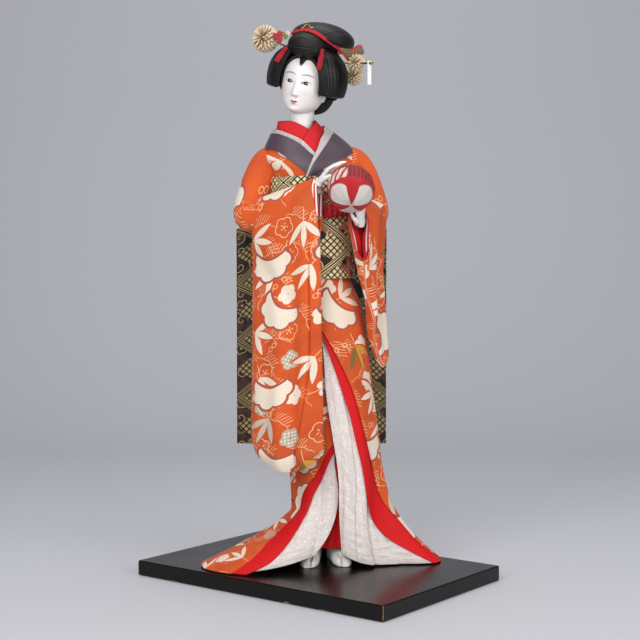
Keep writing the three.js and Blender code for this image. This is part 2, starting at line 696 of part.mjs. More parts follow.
/** Thread ball with a pole-to-pole groove between its thread panels. */
function threadBall() {
  const rings = [];
  for (let row = 1; row < 10; row += 1) {
    const tilt = (row / 10) * PI;
    rings.push(steps(24).slice(0, 24).map((turn) => {
      const groove = 0.4 * cos(turn * 2 * PI * BALL_GROOVES) * sin(tilt);
      const reach = (BALL_RADIUS - 0.4 + groove) * sin(tilt);
      return at(reach * cos(turn * 2 * PI), reach * sin(turn * 2 * PI), -BALL_RADIUS * cos(tilt));
    }));
  }
  return loft(rings).rotateX(radians(BALL_TILT)).translate(...BALL_MIDDLE);
}
const ball = threadBall();

/** Hand with its wrist at the origin, fingers along +X and palm down. */
function hand(curl, thumbSide) {
  const palm = loft(steps(4).map((share) => {
    const wide = lerp(3.6, 6, share);
    const thick = lerp(3.6, 2.7, share);
    return steps(10).slice(0, 10).map((turn) => at(lerp(-6, 15, share), wide * cos(turn * 2 * PI), thick * sin(turn * 2 * PI)));
  }));
  const fingers = [-4.4, -1.5, 1.5, 4.4].map((side, index) => {
    const length = [14, 17, 18, 16][index];
    const points = steps(2).map((share) => (
      at(12 + length * share, side * (1 + 0.15 * share), -curl * length * share * share * 0.5)
    ));
    return bar(points, [1.75, 1.55, 1.1], 5);
  });
  const thumb = bar([at(1, 3.5 * thumbSide, -1), at(7, 6.5 * thumbSide, -3), at(13, 7 * thumbSide, -6)], [2.1, 1.9, 1.3], 5);
  return join(palm, ...fingers, thumb);
}

/** Turns a hand so that its fingers run along one way and its palm faces another. */
function placedHand(geometry, wrist, along, palm) {
  const x = along.clone().normalize();
  const y = palm.clone().negate().cross(x).normalize();
  const z = x.clone().cross(y);
  const turn = new THREE.Matrix4().makeBasis(x, y, z).setPosition(wrist);
  return geometry.applyMatrix4(turn);
}
const ballMiddle = at(...BALL_MIDDLE);
const rightWrist = at(3, -60, 376);
const leftWrist = at(42, -50, 338);
const rightHand = clear(
  placedHand(hand(0.9, -1), rightWrist, at(0.55, -0.22, 0.8), ballMiddle.clone().sub(rightWrist)),
  ball, rightArm, rightLining, rightSleeve,
);
const leftHand = clear(
  placedHand(hand(0.7, 1), leftWrist, at(-0.05, -0.62, 0.78), ballMiddle.clone().sub(leftWrist)),
  ball, leftArm, leftLining, leftSleeve, obiCordRing,
);

// Head, in a frame at its own middle, facing -Y
const headHalf = { wide: HEAD_WIDTH / 2, deep: HEAD_DEPTH / 2, high: HEAD_HEIGHT / 2 };
const faceWide = through([-1, 0.24], [-0.9, 0.52], [-0.7, 0.78], [-0.35, 0.96], [0.1, 1], [0.5, 0.97], [0.8, 0.74], [1, 0.2]);
const faceFront = through([-1, 0.62], [-0.9, 0.84], [-0.7, 0.93], [-0.35, 0.97], [0.1, 0.97], [0.5, 0.9], [0.8, 0.62], [1, 0.12]);
const faceBack = through([-1, -0.3], [-0.8, 0], [-0.5, 0.5], [-0.1, 0.86], [0.3, 1], [0.6, 0.92], [0.85, 0.6], [1, 0.15]);

/** Forward relief of the face: nose, eye hollows, lips and chin. */
function relief(x, z) {
  const nose = max(0, min(1, (4.5 - z) / 15)) * max(0, min(1, (z + 14.5) / 3));
  const bridge = NOSE_RISE * nose * exp(-((x / (1.9 + 1.1 * nose)) ** 2));
  const hollow = 1.3 * exp(-(((abs(x) - EYE_SPACING / 2) / 4.6) ** 2) - ((z - EYE_HEIGHT) / 3.4) ** 2);
  const lips = 0.9 * exp(-((x / 4) ** 2) - ((z + 18.4) / 2.2) ** 2);
  const chin = 0.9 * exp(-((x / 6) ** 2) - ((z + 26) / 4) ** 2);
  return bridge - hollow + lips + chin;
}

/** Rings of the head, or of a larger copy of it. */
function headRings(out, columns = 20, rows = 13) {
  return steps(rows).map((share) => {
    const level = lerp(-1, 1, share);
    const z = level * (headHalf.high + out);
    const wide = headHalf.wide * faceWide(level) + out;
    return steps(columns).slice(0, columns).map((way) => {
      const angle = way * 2 * PI - 0.55 * sin(way * 2 * PI);
      const front = cos(angle) > 0;
      const reach = headHalf.deep * (front ? faceFront(level) : faceBack(level)) + out;
      const x = wide * sign(sin(angle)) * abs(sin(angle)) ** 0.9;
      const forward = front && out === 0 ? relief(x, z) * cos(angle) : 0;
      return at(x, -reach * sign(cos(angle)) * abs(cos(angle)) ** 0.9 - forward, z);
    });
  });
}

const headGroup = new THREE.Group();
headGroup.position.set(...HEAD_MIDDLE);
headGroup.rotation.set(radians(HEAD_NOD), radians(HEAD_LEAN), radians(HEAD_TURN), "ZYX");
headGroup.updateMatrix();
const intoHead = headGroup.matrix.clone().invert();

const neckWidth = through([0, 0.84], [0.3, 0.98], [0.55, 0.95], [0.8, 1], [1, 0.88]);
const neck = loft(steps(5).map((share) => {
  const size = NECK_RADIUS * neckWidth(share);
  return ellipse(14, NECK_AXIS[0], NECK_AXIS[1], lerp(neckBottom, HEAD_MIDDLE[2] - HEAD_HEIGHT * 0.27, share), size, size);
}));
const eyeAt = (side) => at(side * (EYE_SPACING / 2), -headHalf.deep * 0.97 + EYE_RADIUS * 0.75 + 0.9, EYE_HEIGHT);
const eye = (side) => {
  const place = eyeAt(side);
  return moved(ellipsoid(EYE_RADIUS, EYE_RADIUS, EYE_RADIUS * 0.62, 8, 6), place.x, place.y, place.z);
};
const ears = [-1, 1].map((side) => moved(ellipsoid(2.2, 4, 6.5, 8, 6), side * (headHalf.wide - 0.8), 3, EAR_HEIGHT));
const rightEye = eye(-1);
const leftEye = eye(1);
const headShell = clear(
  join(loft(headRings(0)), ...ears, neck.clone().applyMatrix4(intoHead)),
  neckPeg.clone().applyMatrix4(intoHead),
  rightEye,
  leftEye,
);

// Hair, in the head's frame
const hairline = new THREE.BoxGeometry(200, 200, 80).translate(0, 0, -40).rotateX(radians(-38)).translate(0, -20, 23);
const wigCap = cut(
  loft(headRings(CAP_THICK + GAP)),
  loft(headRings(GAP)),
  hairline,
  ...ears.map((ear) => grown(ear, GAP)),
);

/** Pin from a flower's middle into the hair. */
const pinFrom = (flower, tip) => bar([flower, tip], [PIN_RADIUS, PIN_RADIUS], 8);
const RIGHT_FLOWER = at(-46.5, -8, 35.5);
const RIGHT_PIN_WAY = at(0.94, 0.3, -0.15).normalize();
const LEFT_UPPER_FLOWER = at(40.8, 22, 27.7);
const LEFT_LOWER_FLOWER = at(40.8, 24, 14.7);
const LEFT_PIN_WAY = at(-0.97, -0.2, -0.136).normalize();
const STRIP_WAY = at(0.88, -0.45, 0.15).normalize();
const beadOut = STRIP_OUT + STRIP_THICK / 2 + PIN_BEAD + GAP;
const rightPin = pinFrom(RIGHT_FLOWER, RIGHT_FLOWER.clone().addScaledVector(RIGHT_PIN_WAY, PIN_LENGTH));
const leftBead = LEFT_UPPER_FLOWER.clone().addScaledVector(STRIP_WAY, beadOut);
const leftPin = join(
  pinFrom(LEFT_UPPER_FLOWER, LEFT_UPPER_FLOWER.clone().addScaledVector(LEFT_PIN_WAY, PIN_LENGTH)),
  pinFrom(LEFT_UPPER_FLOWER, leftBead),
  moved(ellipsoid(PIN_RADIUS, PIN_RADIUS, PIN_RADIUS, 8, 6), ...LEFT_UPPER_FLOWER.toArray()),
  moved(ellipsoid(PIN_BEAD, PIN_BEAD, PIN_BEAD, 8, 6), ...leftBead.toArray()),
);

const hairWide = through([SIDE_HAIR_BOTTOM, 40], [2, 41.5], [14, 40.5], [24, 36], [32, 28.5], [SIDE_HAIR_TOP, 20]);
const hairDeep = through([SIDE_HAIR_BOTTOM, 29], [10, 31], [24, 28], [32, 21], [SIDE_HAIR_TOP, 14]);

const wingFront = through([SIDE_HAIR_BOTTOM, 33], [5, 30], [18, 26.5], [SIDE_HAIR_TOP, 26]);
const WING_BACK = 128;

/** Wing of hair over one side of the head, open below. */
function sideHair(side) {
  const surface = (depth) => (u, v) => {
    const height = lerp(SIDE_HAIR_BOTTOM, SIDE_HAIR_TOP, v);
    const angle = radians(lerp(wingFront(height), WING_BACK, u));
    const taper = 0.25 + 0.75 * sqrt(max(0, sin(u * PI)));
    const inward = depth * taper * (1 - 0.4 * v);
    return at(side * (hairWide(height) - inward) * sin(angle), 3 - (hairDeep(height) - inward) * cos(angle), height);
  };
  return clear(sheet(9, 6, surface(0), surface(SIDE_HAIR_THICK)), wigCap, headShell, rightPin, leftPin);
}
const rightSideHair = sideHair(-1);
const leftSideHair = sideHair(1);

const backSurface = (depth) => (u, v) => {
  const height = lerp(SIDE_HAIR_BOTTOM - 4, SIDE_HAIR_TOP, v);
  const angle = radians(lerp(131, 229, u));
  const inward = depth * (1 - 0.4 * v);
  return at((hairWide(height) - inward) * sin(angle), 3 - (hairDeep(height) - inward) * cos(angle), height);
};
const backHair = clear(
  sheet(9, 6, backSurface(0), backSurface(SIDE_HAIR_THICK)),
  wigCap, headShell, rightSideHair, leftSideHair, leftPin,
);

/** Drooping bag of hair at the nape. */
function napeHair() {
  const path = new THREE.CatmullRomCurve3([at(0, 24, 2), at(0, 33, -8), at(1, 30, -20), at(2, 20, -28.5)]);
  const wide = through([0, 13], [0.4, 20], [0.75, 16], [1, 5]);
  const thick = through([0, 6], [0.4, 8.5], [0.75, 7], [1, 3]);
  return loft(steps(6).map((share) => {
    const middle = path.getPoint(share);
    const along = path.getTangent(share);
    const out = at(0, along.z, -along.y).negate();
    return steps(12).slice(0, 12).map((way) => middle.clone()
      .add(at(wide(share) * cos(way * 2 * PI), 0, 0))
      .addScaledVector(out, thick(share) * sin(way * 2 * PI)));
  }));
}
const tabo = clear(napeHair(), wigCap, headShell, backHair, rightSideHair, leftSideHair);
/** Ribbon over the hair between the front roll and the topknot. */
function ribbonBand() {
  const path = new THREE.CatmullRomCurve3([
    at(-22, -7.5, 42.5), at(-17, -10, 46.2), at(-5.6, -12, 50), at(4, -12.3, 49.6), at(13.7, -10, 46), at(24, -1.5, 40.3),
    at(29, 6, 37),
  ]);
  const surface = (depth) => (u, v) => {
    const point = path.getPoint(u);
    const out = point.clone().sub(at(0, 0, 28)).normalize();
    const across = path.getTangent(u).cross(out).normalize();
    return point.addScaledVector(across, (v - 0.5) * RIBBON_WIDTH).addScaledVector(out, depth + 0.4 * cos(v * 2 * PI));
  };
  return sheet(14, 3, surface(RIBBON_THICK), surface(0));
}
const ribbon = clear(ribbonBand(), wigCap, rightSideHair, leftSideHair);
const frontHair = clear(
  moved(ellipsoid(FRONT_HAIR.wide, FRONT_HAIR.deep, FRONT_HAIR.high, 14, 8), ...FRONT_HAIR.middle),
  wigCap, headShell, rightSideHair, leftSideHair, rightPin, ribbon,
);
const topknot = clear(
  moved(ellipsoid(TOPKNOT.wide, TOPKNOT.long, TOPKNOT.high, 16, 8), ...TOPKNOT.middle),
  wigCap, frontHair, rightSideHair, leftSideHair, backHair, leftPin, rightPin, ribbon,
);

/** Folded ribbon end lying back along the topknot. */
function ribbonLoop() {
  const surface = (depth) => (u, v) => {
    const swell = sqrt(max(0.04, sin(u * PI)));
    const wave = 2.5 * sin(u * 3 * PI);
    return at(29.5 + 8.5 * u + depth + 2 * swell * cos((v - 0.5) * PI), 6 + 40 * u, 36.5 + 2 * u + (v - 0.5) * 12 * swell + wave);
  };
  return sheet(12, 4, surface(RIBBON_THICK), surface(0));
}

/** Point just over the topknot, above (x, y). */
function onTopknot(x, y) {
  const [midX, midY, midZ] = TOPKNOT.middle;
  const rise = sqrt(max(0, 1 - ((x - midX) / TOPKNOT.wide) ** 2 - ((y - midY) / TOPKNOT.long) ** 2));
  return at(x, y - GAP, midZ + TOPKNOT.high * rise + GAP);
}
const loop = clear(ribbonLoop(), ribbon, topknot, leftSideHair, backHair, wigCap, leftPin);
const goldCord = clear(
  bar([onTopknot(-16, -6.5), onTopknot(-12, -6), onTopknot(-9, -1), onTopknot(-6, -2), onTopknot(-3, -6), onTopknot(1, -6)], [0.7, 0.7], 6),
  frontHair, ribbon, topknot,
);

/** Pompon flower: a ball of narrow petals. */
function pompon(radius) {
  const golden = PI * (3 - sqrt(5));
  const petals = Array.from({ length: FLOWER_PETALS }, (_, index) => {
    const z = 1 - (2 * (index + 0.5)) / FLOWER_PETALS;
    const way = at(sqrt(1 - z * z) * cos(golden * index), sqrt(1 - z * z) * sin(golden * index), z);
    const petal = new THREE.CylinderGeometry(radius * 0.07, radius * 0.15, radius * 0.6, 4, 1);
    petal.translate(0, radius * 0.7, 0);
    return petal.applyQuaternion(new THREE.Quaternion().setFromUnitVectors(at(0, 1, 0), way));
  });
  return join(ellipsoid(radius * 0.72, radius * 0.72, radius * 0.72, 10, 6), ...petals);
}

const hair = [wigCap, frontHair, topknot, rightSideHair, leftSideHair, backHair, tabo, ribbon, loop, goldCord];
const rightFlower = clear(moved(pompon(FLOWER_RADIUS), ...RIGHT_FLOWER.toArray()), rightPin, ...hair);
const upperFlower = clear(moved(pompon(SMALL_FLOWER_RADIUS), ...LEFT_UPPER_FLOWER.toArray()), leftPin, ...hair);
const lowerFlower = clear(moved(pompon(SMALL_FLOWER_RADIUS), ...LEFT_LOWER_FLOWER.toArray()), leftPin, upperFlower, ...hair);

/** Small red buds beside the right flower. */
function buds() {
  const places = [at(-33.5, -14, 39.5), at(-28.5, -16, 42.5), at(-28, -16.5, 37.5)];
  return join(...places.map((place) => moved(ellipsoid(4, 4, 4, 8, 6), ...place.toArray())));
}
const rightBuds = clear(buds(), rightPin, rightFlower, ...hair);

/** Flat red tassel hanging on the hair from its knot. */
function tassel(knot, foot) {
  const along = foot.clone().sub(knot);
  const side = at(0, -1, 0).cross(along).normalize();
  const surface = (depth) => (u, v) => {
    const width = TASSEL_WIDTH * lerp(0.55, 1, min(1, v * 1.6)) * (v > 0.99 ? 0.85 : 1);
    return knot.clone().addScaledVector(along, v).addScaledVector(side, (u - 0.5) * width).add(at(0, -depth, 0));
  };
  return sheet(3, 5, surface(TASSEL_THICK), surface(0));
}
const RIGHT_TASSEL = { knot: at(-18.4, -20, 31), foot: at(-24.5, -24, 16) };
const LEFT_TASSEL = { knot: at(18.5, -18, 35.4), foot: at(20.7, -24.5, 15.7) };
const rightTassel = clear(tassel(RIGHT_TASSEL.knot, RIGHT_TASSEL.foot), ...hair, headShell);
const leftTassel = clear(tassel(LEFT_TASSEL.knot, LEFT_TASSEL.foot), ...hair, headShell);

/** Silver strip with a hole for the left pin, hanging straight down. */
function strip() {
  const down = at(0, 0, -1).transformDirection(intoHead);
  const across = STRIP_WAY.clone().cross(down).normalize();
  const plate = new THREE.BoxGeometry(STRIP_WIDTH, STRIP_LENGTH, STRIP_THICK).translate(0, STRIP_LENGTH / 2 - STRIP_WIDTH / 2, 0);
  const facing = across.clone().cross(down).normalize();
  const turn = new THREE.Matrix4().makeBasis(across, facing.clone().cross(across), facing);
  const hung = LEFT_UPPER_FLOWER.clone().addScaledVector(STRIP_WAY, STRIP_OUT);
  return clear(plate.applyMatrix4(turn.setPosition(hung)), leftPin);
}
const silverStrip = strip();

// Materials
const finish = (color, roughness = 0.8, metalness = 0) => new THREE.MeshStandardMaterial({ color, roughness, metalness });
const black = () => finish("#15120f", 0.45);
const red = () => finish("#c81e2a", 0.75);
const skin = () => finish("#ecebea", 0.5);
const kimono = () => finish("#dd5a2c", 0.85);
const brocade = () => finish("#3a3120", 0.6);

function add(parent, name, geometry, material) {
  const mesh = new THREE.Mesh(geometry, material);
  mesh.name = name;
  parent.add(mesh);
}

const doll = new THREE.Group();
const figure = new THREE.Group();
figure.rotation.z = radians(FIGURE_TURN);
figure.position.set(-FIGURE_BACK * sin(radians(FIGURE_TURN)), FIGURE_BACK * cos(radians(FIGURE_TURN)), BOARD_THICK);
figure.updateMatrix();
doll.add(figure);
figure.add(headGroup);

/** Board with bevelled edges and the two wire holes. */
function board() {
  const outline = new THREE.Shape();
  const halfWide = BOARD_WIDTH / 2 - BOARD_EDGE;
  const halfDeep = BOARD_DEPTH / 2 - BOARD_EDGE;
  outline.moveTo(-halfWide, -halfDeep);
  outline.lineTo(halfWide, -halfDeep);
  outline.lineTo(halfWide, halfDeep);
  outline.lineTo(-halfWide, halfDeep);
  const slab = new THREE.ExtrudeGeometry(outline, {
    depth: BOARD_THICK - 2 * BOARD_EDGE,
    bevelThickness: BOARD_EDGE,
    bevelSize: BOARD_EDGE,
    bevelSegments: 1,
  });
  slab.translate(0, 0, BOARD_EDGE);
  return clear(slab, rightWire.clone().applyMatrix4(figure.matrix), leftWire.clone().applyMatrix4(figure.matrix));
}

add(doll, "base_board", board(), finish("#17120f", 0.3));
add(figure, "right_leg_wire", rightWire, finish("#8a8a88", 0.4, 1));
add(figure, "left_leg_wire", leftWire, finish("#8a8a88", 0.4, 1));
add(figure, "right_foot", rightFoot, finish("#e4e2de", 0.8));
add(figure, "left_foot", leftFoot, finish("#e4e2de", 0.8));
add(figure, "right_leg", legOn(rightAnkle, rightWire), finish("#b99a6a"));
add(figure, "left_leg", legOn(leftAnkle, leftWire), finish("#b99a6a"));
add(figure, "lower_core", lowerCore, finish("#c2a878", 0.95));
add(figure, "chest_core", chestCore, finish("#c2a878", 0.95));
add(figure, "right_arm", rightArm, finish("#d8d2c6", 0.95));
add(figure, "left_arm", leftArm, finish("#d8d2c6", 0.95));
add(figure, "right_hand", rightHand, skin());
add(figure, "left_hand", leftHand, skin());
add(figure, "thread_ball", ball, finish("#c4303a", 0.7));
add(figure, "red_underskirt", redUnderskirt, red());
add(figure, "white_underskirt", whiteUnderskirt, finish("#e2dcd5", 0.9));
add(figure, "kimono_lining", kimonoLining, red());
add(figure, "kimono_skirt", kimonoSkirt, kimono());
add(figure, "kimono_bodice", kimonoBodice, kimono());
add(figure, "right_sleeve", rightSleeve, kimono());
add(figure, "left_sleeve", leftSleeve, kimono());
add(figure, "right_sleeve_lining", rightLining, red());
add(figure, "left_sleeve_lining", leftLining, red());
add(figure, "inner_collar", innerCollar, finish("#df4148", 0.8));
add(figure, "middle_collar", middleCollar, finish("#d8d2cc", 0.85));
add(figure, "outer_collar", outerCollar, finish("#5f4a55", 0.55));
add(figure, "obi_band", obiBand, brocade());
add(figure, "obi_cord", obiCordRing, red());
add(figure, "obi_knot", obiKnot, brocade());
add(figure, "right_obi_tail", rightTail, brocade());
add(figure, "left_obi_tail", leftTail, brocade());
add(figure, "neck_peg", neckPeg, finish("#b99a6a"));
add(headGroup, "head", headShell, skin());
add(headGroup, "right_eye", rightEye, finish("#241a14", 0.1));
add(headGroup, "left_eye", leftEye, finish("#241a14", 0.1));
add(headGroup, "wig_cap", wigCap, black());
add(headGroup, "front_hair", frontHair, black());
add(headGroup, "right_side_hair", rightSideHair, black());
add(headGroup, "left_side_hair", leftSideHair, black());
add(headGroup, "back_hair", backHair, black());
add(headGroup, "nape_hair", tabo, black());
add(headGroup, "topknot", topknot, black());
add(headGroup, "ribbon_band", ribbon, red());
add(headGroup, "ribbon_loop", loop, red());
add(headGroup, "gold_cord", goldCord, finish("#b8923f", 0.35, 1));
add(headGroup, "right_pin", rightPin, finish("#b8923f", 0.35, 1));
add(headGroup, "right_flower", rightFlower, finish("#cdb08d", 0.9));
add(headGroup, "right_buds", rightBuds, red());
add(headGroup, "left_pin", leftPin, finish("#b8923f", 0.35, 1));
add(headGroup, "left_upper_flower", upperFlower, finish("#cdb08d", 0.9));
add(headGroup, "left_lower_flower", lowerFlower, finish("#cdb08d", 0.9));
add(headGroup, "silver_strip", silverStrip, finish("#c9ccd0", 0.25, 1));
add(headGroup, "right_tassel", rightTassel, red());
add(headGroup, "left_tassel", leftTassel, red());

export default doll;
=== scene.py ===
"""Oyama doll: a standing figure in a trailing kimono, holding a thread ball, on a lacquered board.

Shapes are worked out in millimetres, in the figure's frame (facing -Y, standing on z = 0) or in the
head's frame, and stored in metres in the part's frame.
"""
import functools
import logging
import math
from collections.abc import Callable
from dataclasses import dataclass
from enum import Enum

import bpy
import numpy as np
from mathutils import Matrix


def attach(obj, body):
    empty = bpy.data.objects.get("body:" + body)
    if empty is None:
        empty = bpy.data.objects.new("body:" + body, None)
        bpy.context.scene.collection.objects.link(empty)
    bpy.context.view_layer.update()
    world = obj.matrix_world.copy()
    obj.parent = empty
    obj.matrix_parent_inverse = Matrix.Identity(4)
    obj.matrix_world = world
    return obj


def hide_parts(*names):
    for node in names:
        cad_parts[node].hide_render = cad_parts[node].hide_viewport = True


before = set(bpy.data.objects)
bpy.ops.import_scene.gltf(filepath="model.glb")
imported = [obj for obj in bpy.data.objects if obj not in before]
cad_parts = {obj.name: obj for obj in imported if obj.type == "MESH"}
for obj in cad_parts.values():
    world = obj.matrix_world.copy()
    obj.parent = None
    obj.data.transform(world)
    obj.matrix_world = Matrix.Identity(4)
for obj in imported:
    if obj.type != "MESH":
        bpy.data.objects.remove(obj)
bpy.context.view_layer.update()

LOG = logging.getLogger("oyama_doll")
MM = 0.001
TAU = 2.0 * math.pi
WELD_GAP = 2e-6
PATH_STEP = 1e-3

Array = np.ndarray
Point = tuple[float, float, float]
Piece = bpy.types.Object
Curve = Callable[[Array], Array]
Surface = Callable[[Array, Array], Array]

# Board and figure
BOARD_HALF_WIDE = 150.0
BOARD_HALF_DEEP = 100.0
BOARD_THICK = 15.0
FIGURE_TURN = 37.5
FIGURE_BACK = 10.0

# Skirts
SKIRT_TOP = 296.0
OBI_BOTTOM = 284.0
OBI_TOP = 383.0
WAIST_HEIGHT = 297.0
WRAP_START = 40.0
WRAP_PITCH = 6.2
HEM_LIFT = 0.6
HEM_FOLD = 2.2
HEM_FOLDS = 9
UNDERSKIRT_HEM = 17.0
WHITE_HEM_RISE = 17.0
CLOTH_THICK = 1.4
CLOTH_STEP = 1.9
KIMONO_CLOTH = 0.9
LINING_CLOTH = 0.8
UNDER_OUT = 0.5
WHITE_OUT = UNDER_OUT + CLOTH_STEP
LINING_OUT = WHITE_OUT + CLOTH_STEP
KIMONO_OUT = LINING_OUT + CLOTH_STEP

# Obi
OBI_WIDE = 78.4
OBI_DEEP = 67.4
OBI_THICK = 2.6
OBI_CLOTH = 1.6
OBI_CORD_THICK = 7.0
OBI_CORD_HIGH = 13.0
OBI_CORD_HEIGHT = 347.0
OBI_CORD_RISE = 5.0
TAIL_CLOTH = 1.8
TAIL_WIDTH = 76.0
TAIL_BOTTOM = 112.0
TAIL_SLOPE = 16.0
TAIL_TOP = OBI_TOP - 34.0
TAIL_LENGTH = TAIL_TOP - TAIL_BOTTOM
OBI_BACK = OBI_DEEP / 2 + OBI_THICK
TAIL_OUT = OBI_BACK + OBI_CORD_THICK + 2.0

# Head
HEAD_MIDDLE = (-11.7, -4.0, 475.5)
HEAD_TURN = -19.0
HEAD_LEAN = 12.5
HEAD_NOD = 5.0
HEAD_HALF_WIDE = 21.0
HEAD_HALF_DEEP = 24.0
HEAD_HALF_HIGH = 29.5
EYE_OUT = 8.6
EYE_UP = 0.5
EYE_HALF_LONG = 4.1
EYE_HALF_HIGH = 1.55
MOUTH_UP = -18.6
NECK_AXIS = (-15.5, 1.0)

# Ball
BALL_RADIUS = 23.0
BALL_MIDDLE = (32.0, -66.0, 369.0)
BALL_TILT = 135.0


class Side(Enum):
    """The doll's own right or left, as the sign of x in its frame."""

    RIGHT = -1
    LEFT = 1

    def named(self, part: str) -> str:
        """Node name of a part on this side."""
        return f"{self.name.lower()}_{part}"


class Body(Enum):
    """The moving bodies that pieces ride on."""

    STAND = "stand"
    HEAD = "head"
    RIGHT_PIN = "right_hairpin"
    LEFT_PIN = "left_hairpin"
    RIGHT_TASSEL = "right_tassel"
    LEFT_TASSEL = "left_tassel"


# Curves and frames


def through(*knots: tuple[float, float]) -> Curve:
    """Smooth curve through knots.

    Args:
        knots: (place, value) pairs in rising order of place.
    Returns:
        The curve, held at its end values outside the knots.
    """
    places = np.array([knot[0] for knot in knots], float)
    values = np.array([knot[1] for knot in knots], float)
    before = np.maximum(np.arange(len(knots)) - 1, 0)
    after = np.minimum(np.arange(len(knots)) + 1, len(knots) - 1)
    slopes = (values[after] - values[before]) / (places[after] - places[before])

    def curve(place: Array) -> Array:
        """Value at each place."""
        held = np.clip(place, places[0], places[-1])
        index = np.clip(np.searchsorted(places, held, "right") - 1, 0, len(places) - 2)
        span = places[index + 1] - places[index]
        share = (held - places[index]) / span
        rise = share * share * (3 - 2 * share)
        lead = share * (1 - share) ** 2 * span * slopes[index]
        tail = share * share * (share - 1) * span * slopes[index + 1]
        return values[index] + (values[index + 1] - values[index]) * rise + lead + tail

    return curve


def steady(value: float) -> Curve:
    """Curve of one value all along."""
    return through((0, value), (1, value))


def path_through(points: list[Point]) -> Curve:
    """Smooth path in space.

    Args:
        points: what the path passes through, evenly spaced in its parameter.
    Returns:
        A function from shares of the path to points, one row each.
    """
    shares = np.linspace(0, 1, len(points))
    axes = [through(*zip(shares, (point[axis] for point in points))) for axis in range(3)]
    return lambda share: np.stack([axis(share) for axis in axes], -1)


def mixed(low: Array, high: Array, share: Array) -> Array:
    """Value between low and high at a share."""
    return low + (high - low) * share


def facing_of(angle: Array) -> Array:
    """Angle in degrees brought to -180..180 from the front."""
    return np.mod(angle + 180, 360) - 180


def unit(vectors: Array) -> Array:
    """Vectors scaled to length one, along the last axis."""
    return vectors / np.maximum(np.linalg.norm(vectors, axis=-1, keepdims=True), 1e-9)


def heading(path: Curve, share: Array) -> Array:
    """Direction of a path at shares of it."""
    return unit(path(np.minimum(share + PATH_STEP, 1)) - path(np.maximum(share - PATH_STEP, 0)))


def turned(axis: int, degrees: float) -> Array:
    """Rotation matrix about one axis.

    Args:
        axis: 0, 1 or 2 for x, y or z.
        degrees: the angle.
    Returns:
        The matrix.
    """
    c, s = math.cos(math.radians(degrees)), math.sin(math.radians(degrees))
    first, second = [(1, 2), (2, 0), (0, 1)][axis]
    matrix = np.eye(3)
    matrix[first, first] = matrix[second, second] = c
    matrix[first, second], matrix[second, first] = -s, s
    return matrix


@dataclass(frozen=True)
class Place:
    """A frame of the doll and how it lies in the part."""

    turn: Array
    middle: Array

    def metres(self, points: Array) -> Array:
        """Points of this frame, in millimetres, as metres in the part's frame."""
        return (points @ self.turn.T + self.middle) * MM

    def inner(self, turn: Array, middle: Point) -> "Place":
        """A frame turned and placed inside this one."""
        return Place(self.turn @ turn, self.turn @ np.array(middle) + self.middle)


FIGURE_SIN = math.sin(math.radians(FIGURE_TURN))
FIGURE_COS = math.cos(math.radians(FIGURE_TURN))
FIGURE_MIDDLE = np.array([-FIGURE_BACK * FIGURE_SIN, FIGURE_BACK * FIGURE_COS, BOARD_THICK])
FIGURE = Place(turned(2, FIGURE_TURN), FIGURE_MIDDLE)
HEAD_TILT = turned(2, HEAD_TURN) @ turned(1, HEAD_LEAN) @ turned(0, HEAD_NOD)
HEAD = FIGURE.inner(HEAD_TILT, HEAD_MIDDLE)


# Modelling


def select_only(piece: Piece) -> None:
    """Makes a piece the one selected and active object.

    Args:
        piece: object to select.
    """
    bpy.ops.object.select_all(action="DESELECT")
    piece.select_set(True)
    bpy.context.view_layer.objects.active = piece


def edit_all(piece: Piece, *actions: Callable[[], object]) -> None:
    """Runs mesh operators on all of a piece's elements in edit mode.

    Args:
        piece: object to edit.
        actions: the operators, in order.
    """
    select_only(piece)
    bpy.ops.object.mode_set(mode="EDIT")
    bpy.ops.mesh.select_all(action="SELECT")
    for action in actions:
        action()
    bpy.ops.object.mode_set(mode="OBJECT")


def weld() -> None:
    """Merges points that meet and turns the faces outwards."""
    bpy.ops.mesh.remove_doubles(threshold=WELD_GAP)
    bpy.ops.mesh.normals_make_consistent(inside=False)


def fill() -> None:
    """Closes open ends and turns the faces outwards."""
    bpy.ops.mesh.remove_doubles(threshold=WELD_GAP)
    bpy.ops.mesh.select_all(action="SELECT")
    bpy.ops.mesh.fill_holes(sides=0)
    bpy.ops.mesh.select_all(action="SELECT")
    bpy.ops.mesh.normals_make_consistent(inside=False)


def applied(piece: Piece, kind: str, **settings: object) -> None:
    """Adds a modifier with its settings and applies it.

    Args:
        piece: object to change.
        kind: type of the modifier.
        settings: its options.
    """
    select_only(piece)
    modifier = piece.modifiers.new(kind, kind)
    for name, value in settings.items():
        setattr(modifier, name, value)
    bpy.ops.object.modifier_apply(modifier=modifier.name)


def smooth(piece: Piece, degrees: float = 180.0) -> None:
    """Smooth shading, with edges sharper than an angle left sharp.

    Args:
        piece: object to shade.
        degrees: the angle, 180 for no sharp edge.
    """
    select_only(piece)
    if degrees < 180:
        bpy.ops.object.shade_smooth_by_angle(angle=math.radians(degrees))
    else:
        bpy.ops.object.shade_smooth()


def joined(name: str, pieces: list[Piece]) -> Piece:
    """Several pieces as one object.

    Args:
        name: name of the whole.
        pieces: objects to join; the first one stays.
    Returns:
        The whole.
    """
    select_only(pieces[0])
    for piece in pieces:
        piece.select_set(True)
    bpy.ops.object.join()
    pieces[0].name = pieces[0].data.name = name
    return pieces[0]


def points_of(piece: Piece) -> Array:
    """A mesh's points.

    Args:
        piece: object that has the mesh.
    Returns:
        One row in metres to each point.
    """
    points = np.empty(len(piece.data.vertices) * 3, np.float32)
    piece.data.vertices.foreach_get("co", points)
    return points.reshape(-1, 3)


